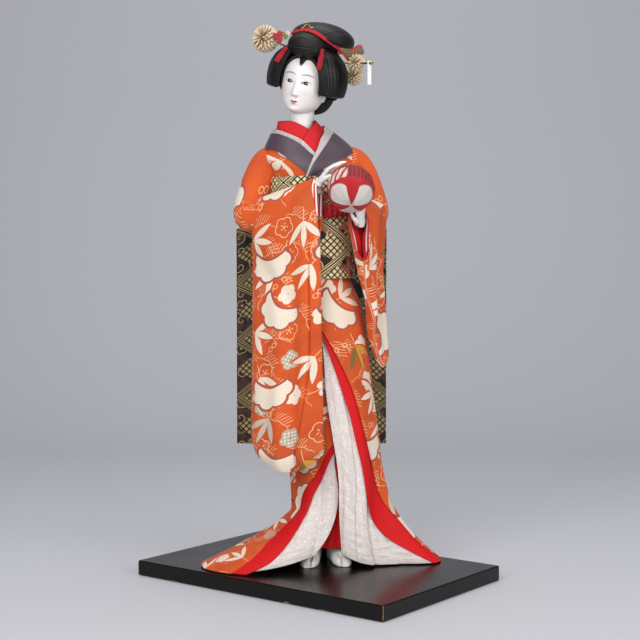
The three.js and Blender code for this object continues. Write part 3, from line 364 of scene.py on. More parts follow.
def lay_out(piece: Piece, corners: Array) -> None:
    """Sets a piece's UV map.

    Args:
        piece: object whose mesh gets the map.
        corners: UV in millimetres of each vertex.
    """
    mesh = piece.data
    order = np.empty(len(mesh.loops), np.int32)
    mesh.loops.foreach_get("vertex_index", order)
    layer = mesh.uv_layers[0] if mesh.uv_layers else mesh.uv_layers.new(name="UVMap")
    layer.uv.foreach_set("vector", np.ascontiguousarray(corners[order], np.float32).ravel())


def grid(name: str, size: tuple[int, int], surface: Surface, place: Place,
         uv: Surface | None = None) -> Piece:
    """Grid primitive shaped into a surface.

    Args:
        name: object name.
        size: faces across and along.
        surface: point in millimetres at each (u, v) in 0..1.
        place: frame that the surface is in.
        uv: UV in millimetres at each (u, v).
    Returns:
        The new object, with its first and last columns not yet merged.
    """
    bpy.ops.object.select_all(action="DESELECT")
    bpy.ops.mesh.primitive_grid_add(x_subdivisions=size[0], y_subdivisions=size[1], size=1)
    piece = bpy.context.object
    piece.name = piece.data.name = name
    flat = points_of(piece).astype(float)
    u = np.clip(flat[:, 0] + 0.5, 0, 1)
    v = np.clip(flat[:, 1] + 0.5, 0, 1)
    piece.data.vertices.foreach_set("co", place.metres(surface(u, v)).astype(np.float32).ravel())
    piece.data.update()
    if uv is not None:
        lay_out(piece, uv(u, v))
    return piece


def rolled_out(width: float, length: float) -> Surface:
    """UV of a plain strip of cloth, in millimetres."""
    return lambda u, v: np.stack([u * width, v * length], -1)


def rolled_along(width: float, length: float) -> Surface:
    """UV of a strip of cloth that runs along u, in millimetres."""
    return lambda u, v: np.stack([v * width, u * length], -1)


def unwrapped(piece: Piece) -> None:
    """Lays a sheet out flat, to its real size in millimetres.

    Args:
        piece: object whose UV map is set.
    """
    edit_all(piece, lambda: bpy.ops.uv.unwrap(method="CONFORMAL", margin=0.0))
    mesh = piece.data
    layer = mesh.uv_layers[0]
    flat = np.empty(len(mesh.loops) * 2, np.float32)
    layer.uv.foreach_get("vector", flat)
    flat = flat.reshape(-1, 2)
    corners = flat[: len(flat) // 4 * 4].reshape(-1, 4, 2)
    one, two = corners[:, 2] - corners[:, 0], corners[:, 3] - corners[:, 1]
    area = np.abs(one[:, 0] * two[:, 1] - one[:, 1] * two[:, 0]).sum() / 2
    real = sum(face.area for face in mesh.polygons)
    layer.uv.foreach_set("vector", (flat * math.sqrt(real / area) / MM).ravel())


def cloth_of(piece: Piece, thick: float) -> None:
    """Gives a sheet its thickness, half to each side, and smooth shading."""
    applied(piece, "SOLIDIFY", thickness=thick * MM, offset=0.0)
    smooth(piece, 60)


def tube(name: str, path: Curve, radius: Curve, size: tuple[int, int], place: Place, flat: float = 1.0,
         thick: float = 0.0) -> Piece:
    """Round bar along a path, closed at its ends, or an open pipe of cloth.

    Args:
        name: object name.
        path: points at shares of the length.
        radius: half width at shares of the length.
        size: sides and steps.
        place: frame of the path.
        flat: thickness as a share of the width.
        thick: thickness of a pipe's cloth, or nought for a bar.
    Returns:
        The bar, with UV across and along it.
    """
    steps = np.diff(path(np.linspace(0, 1, 24)), axis=0)
    guide = np.eye(3)[np.argmin(np.abs(unit(steps)).max(axis=0))]

    def surface(u: Array, v: Array) -> Array:
        """Points at shares u round the bar and v along it."""
        middle = path(v)
        along = heading(path, v)
        across = unit(guide - along * (along @ guide)[:, None])
        upward = np.cross(across, along)
        angle = u[:, None] * TAU
        return middle + radius(v)[:, None] * (across * np.cos(angle) + flat * upward * np.sin(angle))

    length = float(np.linalg.norm(steps, axis=1).sum())
    piece = grid(name, size, surface, place, rolled_out(TAU * float(radius(np.array([0.5]))[0]), length))
    edit_all(piece, weld if thick else fill)
    if thick:
        applied(piece, "SOLIDIFY", thickness=thick * MM, offset=-1.0)
    smooth(piece, 50)
    return piece


def ellipsoid(name: str, middle: Point, half: Point, place: Place,
              pole: int = 2, size: tuple[int, int] = (48, 28)) -> Piece:
    """Ball stretched to three half sizes, its poles on one axis, with UV round and along the poles.

    Args:
        name: object name.
        middle: its middle.
        half: half sizes.
        place: frame of the middle.
        pole: axis of the poles.
        size: faces round and along.
    Returns:
        The ball.
    """
    order = [(1, 2, 0), (2, 0, 1), (0, 1, 2)][pole]

    def surface(u: Array, v: Array) -> Array:
        """Points at shares u round the poles and v between them."""
        tilt, turn = v * math.pi, u * TAU
        round_points = [np.sin(tilt) * np.cos(turn), np.sin(tilt) * np.sin(turn), -np.cos(tilt)]
        points = np.empty((len(u), 3))
        for axis, values in zip(order, round_points):
            points[:, axis] = values
        return points * np.array(half) + np.array(middle)

    piece = grid(name, size, surface, place, rolled_out(TAU * half[order[0]], math.pi * half[order[2]]))
    edit_all(piece, weld)
    smooth(piece)
    return piece


# Shader building


class Signal:
    """One output in a shader, with arithmetic that adds nodes to it."""

    def __init__(self, shader: "Shader", socket: bpy.types.NodeSocket) -> None:
        """Holds the shader and one of its sockets."""
        self.shader = shader
        self.socket = socket

    def math(self, operation: str, *others: object, clamped: bool = False) -> "Signal":
        """Maths on this signal and others."""
        return self.shader.node("Math", (self, *others), operation=operation, use_clamp=clamped)

    def __add__(self, other: object) -> "Signal":
        """This signal plus another."""
        return self.math("ADD", other)

    def __sub__(self, other: object) -> "Signal":
        """This signal less another."""
        return self.math("SUBTRACT", other)

    def __mul__(self, other: object) -> "Signal":
        """This signal times another."""
        return self.math("MULTIPLY", other)

    def __truediv__(self, other: object) -> "Signal":
        """This signal over another."""
        return self.math("DIVIDE", other)

    def within(self, limit: float, soft: float = 0.4) -> "Signal":
        """One where the signal is under a limit and nought above it, with a soft step."""
        return self.math("MULTIPLY_ADD", -1.0 / soft, limit / soft + 0.5, clamped=True)

    def near(self, place: object, half: float, soft: float = 0.4) -> "Signal":
        """One where the signal lies within half a width of a place, with a soft step."""
        return (self - place).math("ABSOLUTE").within(half, soft)

    def clipped(self) -> "Signal":
        """This signal held between nought and one."""
        return self.math("ADD", 0.0, clamped=True)

    def waves(self, pitch: float) -> "Signal":
        """A sine wave of this signal that repeats at each pitch, from -1 to 1."""
        return (self * (TAU / pitch)).math("SINE")

    def fold(self, sector: float) -> "Signal":
        """This signal brought to within half a sector of nought."""
        return self - (self / sector).math("ROUND") * sector


def linear(hex_colour: str) -> tuple[float, float, float, float]:
    """A hex colour as linear light."""
    values = [int(hex_colour[place:place + 2], 16) / 255 for place in (1, 3, 5)]
    light = [value / 12.92 if value <= 0.04045 else ((value + 0.055) / 1.055) ** 2.4 for value in values]
    return (*light, 1.0)


class Shader:
    """A material being built."""

    def __init__(self, name: str, **values: object) -> None:
        """Makes a material.

        Args:
            name: name of the material.
            values: inputs of its surface, with _ for spaces.
        """
        self.material = bpy.data.materials.new(name)
        self.material.use_nodes = True
        self.tree = self.material.node_tree
        self.surface = self.tree.nodes["Principled BSDF"]
        for key, value in values.items():
            self.surface.inputs[key.replace("_", " ")].default_value = value

    def node(self, kind: str, inputs: object = (), out: int | str = 0, **settings: object) -> Signal:
        """Adds one node.

        Args:
            kind: its type, without the ShaderNode prefix.
            inputs: values or signals by place, or by a dictionary of places or names.
            out: which output to give back.
            settings: the node's own options.
        Returns:
            The chosen output.
        """
        made = self.tree.nodes.new("ShaderNode" + kind)
        for name, value in settings.items():
            setattr(made, name, value)
        for key, value in inputs.items() if isinstance(inputs, dict) else enumerate(inputs):
            if isinstance(value, Signal):
                self.tree.links.new(value.socket, made.inputs[key])
            else:
                made.inputs[key].default_value = value
        return Signal(self, made.outputs[out])

    def set(self, name: str, signal: Signal) -> None:
        """Links a signal to an input of the surface."""
        self.tree.links.new(signal.socket, self.surface.inputs[name])

    def over(self, below: object, colour: object, amount: object) -> Signal:
        """A colour laid over another by an amount."""
        paint = [linear(value) if isinstance(value, str) else value for value in (below, colour)]
        return self.node("Mix", {0: amount, 6: paint[0], 7: paint[1]}, out=2, data_type="RGBA")

    def uv(self) -> Signal:
        """The UV map, in millimetres."""
        return self.node("UVMap", uv_map="UVMap")

    def parts(self, vector: Signal) -> tuple[Signal, Signal]:
        """A vector's first two values."""
        split = self.node("SeparateXYZ", (vector,))
        return split, Signal(self, split.socket.node.outputs[1])

    def noise(self, vector: Signal, scale: float, detail: float = 2.0) -> Signal:
        """Soft noise, from 0 to 1, with a feature every 1 / scale."""
        return self.node("TexNoise", {"Vector": vector, "Scale": scale, "Detail": detail})

    def stretched(self, vector: Signal, across: float, along: float) -> Signal:
        """A vector scaled on each axis."""
        return self.node("VectorMath", (vector, (across, along, 1.0)), operation="MULTIPLY")

    def bumped(self, height: Signal, depth: float, strength: float = 1.0) -> None:
        """Raises the surface by a height signal of a real depth in millimetres."""
        self.set("Normal",
                 self.node("Bump", {"Height": height, "Distance": depth * MM, "Strength": strength}))


@dataclass(frozen=True)
class Cells:
    """A repeat of motifs on loose squares, each moved and spun by itself."""

    size: float
    shift: tuple[float, float]
    spin: float = TAU
    loose: float = 0.4

    def lay(self, shader: Shader, uv: Signal) -> tuple[Signal, Signal, Signal]:
        """Motif coordinates.

        Args:
            shader: material to add to.
            uv: cloth coordinates in millimetres.
        Returns:
            x and y from the motif's middle, in millimetres, and each square's random number.
        """
        scaled = (uv, (1 / self.size,) * 3, (*self.shift, 0.0))
        spaced = shader.node("VectorMath", scaled, operation="MULTIPLY_ADD")
        corner = shader.node("VectorMath", (spaced,), operation="FLOOR")
        chance = shader.node("TexWhiteNoise", (corner,))
        scatter = Signal(shader, chance.socket.node.outputs[1])
        spread = shader.node("VectorMath", (scatter, (0.5,) * 3), operation="SUBTRACT")
        local = shader.node("VectorMath", (spaced, corner), operation="SUBTRACT")
        middle = shader.node("VectorMath", (local, (0.5,) * 3), operation="SUBTRACT")
        moved = shader.node("VectorMath", (spread, (-self.loose,) * 3, middle), operation="MULTIPLY_ADD")
        spun = shader.node("VectorRotate", {"Vector": moved, "Angle": chance * self.spin},
                           rotation_type="Z_AXIS")
        sized = shader.stretched(spun, self.size, self.size)
        x, y = shader.parts(sized)
        return x, y, shader.node("SeparateXYZ", (scatter,), out=2)


def between(chance: Signal, low: float, high: float) -> Signal:
    """One where a random number lies in a range."""
    return chance.near((low + high) / 2, (high - low) / 2, 0.001)


def polar(x: Signal, y: Signal) -> tuple[Signal, Signal]:
    """Distance and angle of a point."""
    return (x * x + y * y).math("SQRT"), y.math("ARCTAN2", x)


def leaf_fan(x: Signal, y: Signal, length: float, width: float, sector: float, reach: float) -> Signal:
    """Pointed leaves that fan out from one stem.

    Args:
        x: distance along the stem.
        y: distance across it.
        length: of a leaf.
        width: half the widest place.
        sector: angle from leaf to leaf.
        reach: angle that the fan takes to each side.
    Returns:
        One on the leaves.
    """
    far, angle = polar(x, y)
    near = angle.fold(sector)
    along = far * near.math("COSINE") / length
    half = along * (along * -1.0 + 1.0) * (4 * width)
    leaf = ((far * near.math("SINE")).math("ABSOLUTE") - half).within(0.0)
    return leaf * angle.near(0.0, reach, 0.05)


def blossom(x: Signal, y: Signal, radius: float) -> tuple[Signal, Signal]:
    """Distance outside a five-petalled blossom, and distance from its middle.

    Args:
        x: distance from the middle.
        y: distance from it the other way.
        radius: of the blossom.
    Returns:
        Both distances, in millimetres.
    """
    far, angle = polar(x, y)
    near = angle.fold(TAU / 5)
    along = far * near.math("COSINE") - 0.53 * radius
    across = far * near.math("SINE")
    return (along * along + across * across).math("SQRT") - 0.47 * radius, far


# Finishes


@dataclass(frozen=True)
class Finish:
    """A surface finish; each kind builds its own material."""

    name: str

    @functools.cache
    def material(self) -> bpy.types.Material:
        """The finish's material, built once."""
        return self.build().material

    def build(self) -> Shader:
        """Builds the finish.

        Returns:
            The shader, with all its nodes.
        """
        raise NotImplementedError


@dataclass(frozen=True)
class Lacquer(Finish):
    """Black urushi lacquer: deep gloss, rubbed dull in places and chipped to raw wood at the edges."""

    colour: str = "#0e0a09"
    worn: str = "#8d6b48"

    def build(self) -> Shader:
        """Builds the lacquer with its chips and rubbed corners."""
        shader = Shader(self.name, Specular_IOR_Level=0.2, Coat_Weight=0.08, Coat_Roughness=0.15)
        place = shader.node("TexCoord", out=3)
        rubbed = shader.noise(place, 14.0, 5.0)
        gap, corner, height = self.edge_gaps(shader, place)
        flakes = (shader.noise(place, 300.0, 3.0) - 0.5) * 2.6
        chips = (shader.noise(place, 26.0, 2.0) - 0.62) * 20.0 + flakes - height * 0.16
        rubs = flakes * 0.7 + 0.45
        bare = (gap - chips).within(0.0, 0.3).math("MAXIMUM", (corner - rubs).within(0.0, 0.3))
        shader.set("Base Color", shader.over(self.colour, self.worn, bare))
        shader.set("Roughness", rubbed * 0.2 + 0.17 + bare * 0.4)
        shader.bumped(shader.noise(place, 30.0, 2.0) - bare, 0.15, 0.25)
        return shader

    def edge_gaps(self, shader: Shader, place: Signal) -> tuple[Signal, Signal, Signal]:
        """Places on the board's faces.

        Args:
            shader: material to add to.
            place: object coordinates in metres.
        Returns:
            Distance to the nearest edge, to the nearest upright edge, and height, all in millimetres.
        """
        x, y = shader.parts(place)
        z = shader.node("SeparateXYZ", (place,), out=2)
        wide = (x / MM).math("ABSOLUTE") * -1.0 + BOARD_HALF_WIDE
        deep = (y / MM).math("ABSOLUTE") * -1.0 + BOARD_HALF_DEEP
        height = z / MM
        high = (height - BOARD_THICK / 2).math("ABSOLUTE") * -1.0 + BOARD_THICK / 2
        corner = wide.math("MAXIMUM", deep)
        return wide.math("MINIMUM", deep).math("MAXIMUM", corner.math("MINIMUM", high)), corner, height


@dataclass(frozen=True)
class Plain(Finish):
    """One colour with a soft grain, for pieces that hardly show: wire, straw, paper, wood."""

    colour: str
    rough: float = 0.8
    metal: float = 0.0
    grain: float = 900.0
    grime: float = 0.25

    def build(self) -> Shader:
        """Builds the grained colour."""
        shader = Shader(self.name, Roughness=self.rough, Metallic=self.metal)
        tone = shader.noise(shader.node("TexCoord", out=3), self.grain, 3.0)
        shader.set("Base Color", shader.over(self.colour, "#1c1712", tone.math("MULTIPLY", self.grime)))
        shader.bumped(tone, 0.1, 0.4)
        return shader


@dataclass(frozen=True)
class KimonoCrepe(Finish):
    """Dyed silk crepe: pine, bamboo and plum in white and cream on vermilion, over a pebbled weave."""

    ground: str = "#d05316"
    shade: str = "#b03c10"
    paler: str = "#dd7a40"
    white: str = "#e2d3bf"
    cream: str = "#e9bd90"
    grey: str = "#aca08d"
    gold: str = "#cf922c"
    olive: str = "#75652b"
    line: str = "#655862"
    ink: str = "#1d120f"

    def build(self) -> Shader:
        """Lays the motifs over the ground, with painted shade where the cloth drapes."""
        shader = Shader(self.name, Roughness=0.85, Sheen_Weight=0.08, Sheen_Roughness=0.4)
        uv = shader.uv()
        drape = shader.noise(uv, 0.022, 3.0)
        # Painted shade: broad soft darker patches on the ground stand in for the shading of the drape.
        ground = shader.over(self.ground, self.shade, (drape * 4.0 - 1.7).clipped() * 0.75)
        # Random lighter patches of the ground.
        pale = (shader.noise(uv, 0.013, 2.0) * 5.0 - 2.8).clipped()
        ground = shader.over(ground, self.paler, pale * 0.7)
        colour = self.drawn(shader, uv, ground)
        colour = self.plum(shader, uv, colour)
        colour = self.bamboo(shader, uv, colour, ground)
        colour = self.pine(shader, uv, colour, ground)
        shader.set("Base Color", colour)
        shader.bumped(shader.noise(uv, 1.3, 3.0) + drape * 2.0, 0.25, 0.6)
        return shader

    def pine(self, shader: Shader, uv: Signal, colour: Signal, ground: Signal) -> Signal:
        """Scalloped pine crowns with fine needles and a dull outline set off from them.

        Args:
            shader: material to add to.
            uv: cloth coordinates in millimetres.
            colour: colour so far.
            ground: colour of the cloth round the motif.
        Returns:
            The new colour.
        """
        x, y, chance = Cells(66, (0.13, 0.42), spin=1.5, loose=0.4).lay(shader, uv)
        kept = between(chance, 0.0, 0.62)
        far, angle = polar(x, y * 1.2)
        scallops = (angle * 3.5).math("COSINE").math("ABSOLUTE") * 3.4 + 18.5
        brow = y - (x * x) * 0.024 - 1.0
        edge = (far - scallops).math("MAXIMUM", brow)
        spokes = (angle * 14.0).math("SINE").near(0.0, 0.12, 0.14)
        needles = spokes * (far * -1.0 + 9.0).within(0.0, 1.0)
        colour = shader.over(colour, ground, edge.within(3.0) * kept)
        colour = shader.over(colour, self.line, edge.near(1.5, 0.5, 0.3) * kept)
        colour = shader.over(colour, self.white, edge.within(0.0) * kept)
        return shader.over(colour, self.grey, needles * edge.within(-1.2) * kept * 0.6)

    def bamboo(self, shader: Shader, uv: Signal, colour: Signal, ground: Signal) -> Signal:
        """Sprays of three slender leaves on a thin stem: white, dull white, or gold and olive.

        Args:
            shader: material to add to.
            uv: cloth coordinates in millimetres.
            colour: colour so far.
            ground: colour of the cloth round the motif.
        Returns:
            The new colour.
        """
        x, y, chance = Cells(48, (0.71, 0.33), loose=0.35).lay(shader, uv)
        kept = between(chance, 0.0, 0.86)
        stem = y.near(0.0, 0.35, 0.25) * x.near(-15.0, 7.0, 1.0)
        leaves = leaf_fan(x + 9.0, y, 26.0, 3.0, 0.74, 1.1) * kept
        paint = shader.over(self.white, self.grey, between(chance, 0.5, 0.6) * 0.7)
        gilded = shader.over(self.gold, self.olive, y.within(-1.0, 0.3))
        paint = shader.over(paint, gilded, between(chance, 0.64, 0.86))
        colour = shader.over(colour, ground, leaf_fan(x + 10.5, y, 30.0, 4.4, 0.74, 1.1) * kept)
        colour = shader.over(colour, self.cream, stem * kept)
        return shader.over(colour, paint, leaves)

    def plum(self, shader: Shader, uv: Signal, colour: Signal) -> Signal:
        """One small motif to a square: a white, outlined or dotted blossom, two buds or an ink stroke.

        Args:
            shader: material to add to.
            uv: cloth coordinates in millimetres.
            colour: colour so far.
        Returns:
            The new colour.
        """
        x, y, chance = Cells(34, (0.4, 0.55), loose=0.35).lay(shader, uv)
        edge, far = blossom(x, y, 9.6)
        colour = shader.over(colour, self.white, edge.within(0.0) * between(chance, 0.0, 0.26))
        outline = edge.near(0.0, 0.36, 0.25)
        spokes = (polar(x, y)[1] * 5.0).waves(TAU).math("GREATER_THAN", 0.8) * far.near(2.8, 1.3)
        lines = outline.math("MAXIMUM", spokes)
        colour = shader.over(colour, self.cream, lines * between(chance, 0.26, 0.48))
        dots = (x.waves(6.4) * y.waves(6.4)).math("ABSOLUTE").math("GREATER_THAN", 0.55) * edge.within(-1.2)
        dotted = shader.over(self.grey, self.white, dots)
        colour = shader.over(colour, dotted, edge.within(0.0) * between(chance, 0.48, 0.6))
        bud, _ = polar(x.math("ABSOLUTE") - 3.7, y)
        stalk = x.near(0.0, 0.3, 0.25) * y.near(-6.0, 6.0)
        pair = between(chance, 0.6, 0.78)
        colour = shader.over(colour, self.cream, stalk * pair)
        colour = shader.over(colour, self.white, bud.within(3.4) * pair)
        wavy = y - (x * 0.4).math("SINE") * 1.2
        stroke = wavy.near(0.0, 1.1, 0.3) * x.near(0.0, 5.0, 1.0)
        return shader.over(colour, self.ink, stroke * between(chance, 0.78, 0.84))

    def drawn(self, shader: Shader, uv: Signal, colour: Signal) -> Signal:
        """Thin drawn branches with needle combs, and knotted lines.

        Args:
            shader: material to add to.
            uv: cloth coordinates in millimetres.
            colour: colour so far.
        Returns:
            The new colour.
        """
        small = Cells(37, (0.9, 0.15), spin=2.4, loose=0.5)
        large = Cells(45, (0.35, 0.7), spin=2.0, loose=0.5)
        for cells in (small, large):
            x, y, chance = cells.lay(shader, uv)
            kept = between(chance, 0.0, 0.7)
            bent = y + (x * x) * 0.022 + x.waves(9.0) * 0.5
            line = bent.near(0.0, 0.3, 0.25) * x.near(0.0, 17.0, 1.0)
            slant = (x - (bent * 0.6)).waves(3.2).math("GREATER_THAN", 0.82)
            comb = slant * bent.near(4.5, 4.0, 0.4) * x.near(0.0, 9.0, 0.5)
            colour = shader.over(colour, self.cream, line.math("MAXIMUM", comb) * kept * 0.85)
        x, y, chance = Cells(29, (0.5, 0.6), loose=0.6).lay(shader, uv)
        far, _ = polar(x.math("ABSOLUTE") - 2.6, y)
        ring = far.near(2.2, 0.3, 0.25)
        return shader.over(colour, self.cream, ring * between(chance, 0.0, 0.4))


@dataclass(frozen=True)
class Crepe(Finish):
    """Plain dyed crepe or habutae silk: a fine ribbed weave that catches light in streaks."""

    colour: str
    shade: str
    rib: float = 1.1
    depth: float = 0.12
    rough: float = 0.72
    pleat: float = 0.0
    fold: float = 0.0
    # Colour of the painted shadow line along the folded edge.
    crease: str = "#3d0a0c"
    pucker: float = 0.0
    # Colour of the painted shade in the hollows of the puckers.
    hollow: str = "#c6b2a8"

    def build(self) -> Shader:
        """Builds the ribs, and the fold, pleats or puckers where there are any, with painted shade along the
        fold and in the hollows of the puckers.
        """
        shader = Shader(self.name, Roughness=self.rough, Specular_IOR_Level=0.3, Sheen_Weight=0.03,
                        Sheen_Roughness=0.35)
        uv = shader.uv()
        across, along = shader.parts(uv)
        wander = shader.noise(shader.stretched(uv, 0.5, 0.06), 1.0, 3.0)
        ribs = (across + wander * 2.2).waves(self.rib)
        tone = (wander * 0.75 + ribs * 0.09).clipped()
        colour = shader.over(self.colour, self.shade, tone)
        if self.fold:
            # Painted shadow: a thin dark line along the folded edge of the band.
            colour = shader.over(colour, self.crease, across.near(self.fold, 0.5, 0.4) * 0.6)
        height = ribs * 0.5 + shader.noise(uv, 1.6, 2.0)
        if self.pleat:
            height = height + along.waves(self.pleat) * 2.0
        if self.pucker:
            puckers = (across * 0.6 + along * 0.8 + shader.noise(uv, 0.08, 3.0) * 26.0).waves(self.pucker)
            # Painted shade: the hollows between the puckers are darkened.
            colour = shader.over(colour, self.hollow, puckers.within(-0.3, 0.9) * 0.4)
            height = height + puckers * 0.7
        shader.set("Base Color", colour)
        shader.bumped(height, self.depth, 0.8)
        return shader


@dataclass(frozen=True)
class CuffSilk(Finish):
    """Red sleeve lining with white cords sewn along its edge, each at a distance past the cuff."""

    cords: tuple[float, ...]
    half: float
    red: str = "#d0101b"
    shade: str = "#a60b15"
    white: str = "#eee6e2"

    def build(self) -> Shader:
        """Builds the red silk and its white cords."""
        shader = Shader(self.name, Roughness=0.6, Sheen_Weight=0.1, Sheen_Roughness=0.35)
        uv = shader.uv()
        along, _ = shader.parts(uv)
        colour = shader.over(self.red, self.shade, shader.noise(uv, 0.12, 3.0))
        for place in self.cords:
            colour = shader.over(colour, self.white, along.near(place, self.half, 0.2))
        shader.set("Base Color", colour)
        shader.bumped(shader.noise(uv, 1.2, 2.0), 0.2, 0.7)
        return shader


@dataclass(frozen=True)
class Satin(Finish):
    """Mauve satin: smooth, with a soft gloss along the folds."""

    colour: str = "#40303a"
    light: str = "#54434d"

    def build(self) -> Shader:
        """Builds the smooth gloss."""
        shader = Shader(self.name, Roughness=0.45, Sheen_Weight=0.2, Sheen_Roughness=0.3,
                        Specular_IOR_Level=0.45)
        uv = shader.uv()
        sweep = shader.noise(shader.stretched(uv, 0.02, 0.12), 1.0, 2.0)
        shader.set("Base Color", shader.over(self.colour, self.light, sweep))
        shader.bumped(shader.noise(shader.stretched(uv, 0.35, 2.4), 1.0, 2.0), 0.12, 0.5)
        return shader


@dataclass(frozen=True)
class Brocade(Finish):
    """Obi brocade: pale gilt wefts raised on brown-black, lozenges of lattice and of scrolls on rust."""

    ground: str = "#241912"
    gold: str = "#ecdca8"
    rust: str = "#c4755c"
    lozenge: float = 62.0
    weave: float = 6.6

    def build(self) -> Shader:
        """Builds the lozenges, their borders and what fills them."""
        shader = Shader(self.name)
        uv = shader.uv()
        x, y = shader.parts(uv)
        one, two = (x * 0.75 + y).fold(self.lozenge), (x * 0.75 - y).fold(self.lozenge)
        seam = one.math("ABSOLUTE").math("MINIMUM", two.math("ABSOLUTE"))
        woven = (one * two).math("GREATER_THAN", 0.0)
        field = (seam * -1.0 + 4.6).within(0.0, 0.3)
        scrolls = self.scrolls(shader, uv) * (woven * -1.0 + 1.0)
        border = seam.near(1.5, 0.6, 0.3) + seam.near(3.6, 0.35, 0.3)
        thread = (self.lattice(x, y) * woven + scrolls) * field + border
        blotch = (shader.noise(uv, 0.09, 2.0) * 9.0 - 4.0).clipped() * (woven * -1.0 + 1.0) * field
        colour = shader.over(self.ground, self.rust, blotch * 0.85)
        shader.set("Base Color",
                   shader.over(colour, self.gold, thread.math("MULTIPLY", 0.95, clamped=True)))
        shader.set("Metallic", thread.math("MULTIPLY", 0.15, clamped=True))
        shader.set("Roughness", thread.math("MULTIPLY_ADD", -0.2, 0.75, clamped=True))
        shader.bumped(thread + x.waves(0.7) * y.waves(0.7) * 0.3, 0.25, 0.7)
        return shader

    def lattice(self, x: Signal, y: Signal) -> Signal:
        """Slanting squares of gilt with dark lines between them."""
        one, two = (x + y).fold(self.weave).math("ABSOLUTE"), (x - y).fold(self.weave).math("ABSOLUTE")
        return (one.math("MAXIMUM", two)).within(self.weave * 0.36, 0.5)

    def scrolls(self, shader: Shader, uv: Signal) -> Signal:
        """Curled gilt lines and small petalled rings.

        Args:
            shader: material to add to.
            uv: cloth coordinates in millimetres.
        Returns:
            One on the gilt.
        """
        x, y, chance = Cells(15, (0.2, 0.7), loose=0.3).lay(shader, uv)
        far, angle = polar(x, y)
        curl = (far - angle * 0.9 - 2.4).fold(5.6).near(0.0, 0.5, 0.3) * far.within(6.4)
        edge, _ = blossom(x, y, 6.0)
        bloom = edge.near(0.0, 0.5, 0.3).math("MAXIMUM", far.within(1.3))
        return curl * between(chance, 0.0, 0.55) + bloom * between(chance, 0.55, 0.95)


@dataclass(frozen=True)
class Gofun(Finish):
    """Polished oyster-shell white over carved wood, with painted brows, lids and lips."""

    colour: str = "#e3dfdd"
    shadow: str = "#d3cbc8"
    lip: str = "#b0202c"
    lower_lip: str = "#cc4a50"
    brow: str = "#2f2726"
    lash: str = "#16100e"
    blush: str = "#dcc4bf"
    painted: bool = True

    def build(self) -> Shader:
        """Builds the polished white, with paint where it is a face."""
        shader = Shader(self.name, Roughness=0.36, Subsurface_Weight=0.08, Subsurface_Scale=0.002,
                        Coat_Weight=0.12, Coat_Roughness=0.3)
        place = shader.node("TexCoord", out=3)
        colour = shader.over(self.colour, self.shadow, shader.noise(place, 60.0, 3.0) * 0.3)
        if self.painted:
            colour = self.face(shader, colour)
        shader.set("Base Color", colour)
        shader.bumped(shader.noise(place, 500.0, 2.0), 0.03, 0.3)
        return shader

    def face(self, shader: Shader, colour: Signal) -> Signal:
        """Paint on the face, in millimetres from the head's middle.

        Args:
            shader: material to add to.
            colour: colour so far.
        Returns:
            The new colour.
        """
        x, z = shader.parts(shader.uv())
        out = x.math("ABSOLUTE")
        cheek = ((out - 11.0) * (out - 11.0) + (z + 9.5) * (z + 9.5)).math("SQRT")
        colour = shader.over(colour, self.blush, cheek.within(5.0, 9.0) * 0.5)
        arch = (out - 8.8) * (out - 8.8) * -0.036 + 8.9
        hair = (z - arch).math("ABSOLUTE")
        length = (out - 9.2).math("ABSOLUTE")
        colour = shader.over(colour, self.brow, hair.within(0.5, 1.0) * length.within(5.6, 3.0) * 0.9)
        beside = out - EYE_OUT
        lid = beside * beside * (-EYE_HALF_HIGH / EYE_HALF_LONG ** 2) + (EYE_UP + EYE_HALF_HIGH)
        lid = lid + beside * 0.1
        across = beside.math("ABSOLUTE")
        lash = (z - lid).near(0.15, 0.48, 0.3) * across.within(EYE_HALF_LONG + 0.6, 0.8)
        colour = shader.over(colour, self.lash, lash)
        crease = (z - lid).near(2.0, 0.14, 0.4) * across.within(EYE_HALF_LONG - 0.2, 1.2)
        colour = shader.over(colour, self.brow, crease * 0.35)
        below = z - (out * out) * 0.02 - MOUTH_UP
        bow = (out - 1.5).math("ABSOLUTE") * -0.42 + 1.5
        upper = (below - bow).within(0.0, 0.4) * (below * -1.0).within(0.0, 0.3)
        lower = ((out * out) * 0.13 - 2.1 - below).within(0.0, 0.4) * below.within(0.0, 0.3)
        colour = shader.over(colour, self.lip, upper * out.within(3.5, 0.7))
        colour = shader.over(colour, self.lower_lip, lower * out.within(2.6, 0.9) * 0.8)
        gap = below.near(0.0, 0.16, 0.25) * out.within(3.4, 0.6)
        return shader.over(colour, "#4a0c12", gap)


@dataclass(frozen=True)
class EyeGlass(Finish):
    """Inset glass eye: brown iris under a clear wet gloss."""

    white: str = "#e6ddd6"
    iris: str = "#2c1810"
    pupil: str = "#080505"

    def build(self) -> Shader:
        """Builds white, iris and pupil."""
        shader = Shader(self.name, Roughness=0.06, Coat_Weight=1.0, Coat_Roughness=0.02)
        x, z = shader.parts(shader.uv())
        far, _ = polar(x, z)
        colour = shader.over(self.white, self.iris, far.within(2.3, 0.3))
        shader.set("Base Color", shader.over(colour, self.pupil, far.within(1.3, 0.3)))
        return shader


@dataclass(frozen=True)
class DressedHair(Finish):
    """Combed and oiled hair: near black, its fine strands drawing long soft lights."""

    colour: str = "#040303"
    light: str = "#383430"

    def build(self) -> Shader:
        """Builds strands and locks."""
        # Strands are drawn about 0.6 mm apart, as coarse as they need to show.
        shader = Shader(self.name, Specular_IOR_Level=0.24)
        uv = shader.uv()
        strands = shader.noise(shader.stretched(uv, 1.6, 0.02), 1.0, 4.0)
        locks = shader.noise(shader.stretched(uv, 0.45, 0.012), 1.0, 2.0)
        tone = (strands - 0.5) * 3.6 + (locks - 0.5) * 1.4 + 0.15
        shader.set("Base Color", shader.over(self.colour, self.light, tone.clipped()))
        shader.set("Roughness", strands * 0.34 + 0.22)
        shader.bumped(strands + locks * 1.6, 0.5, 0.9)
        return shader


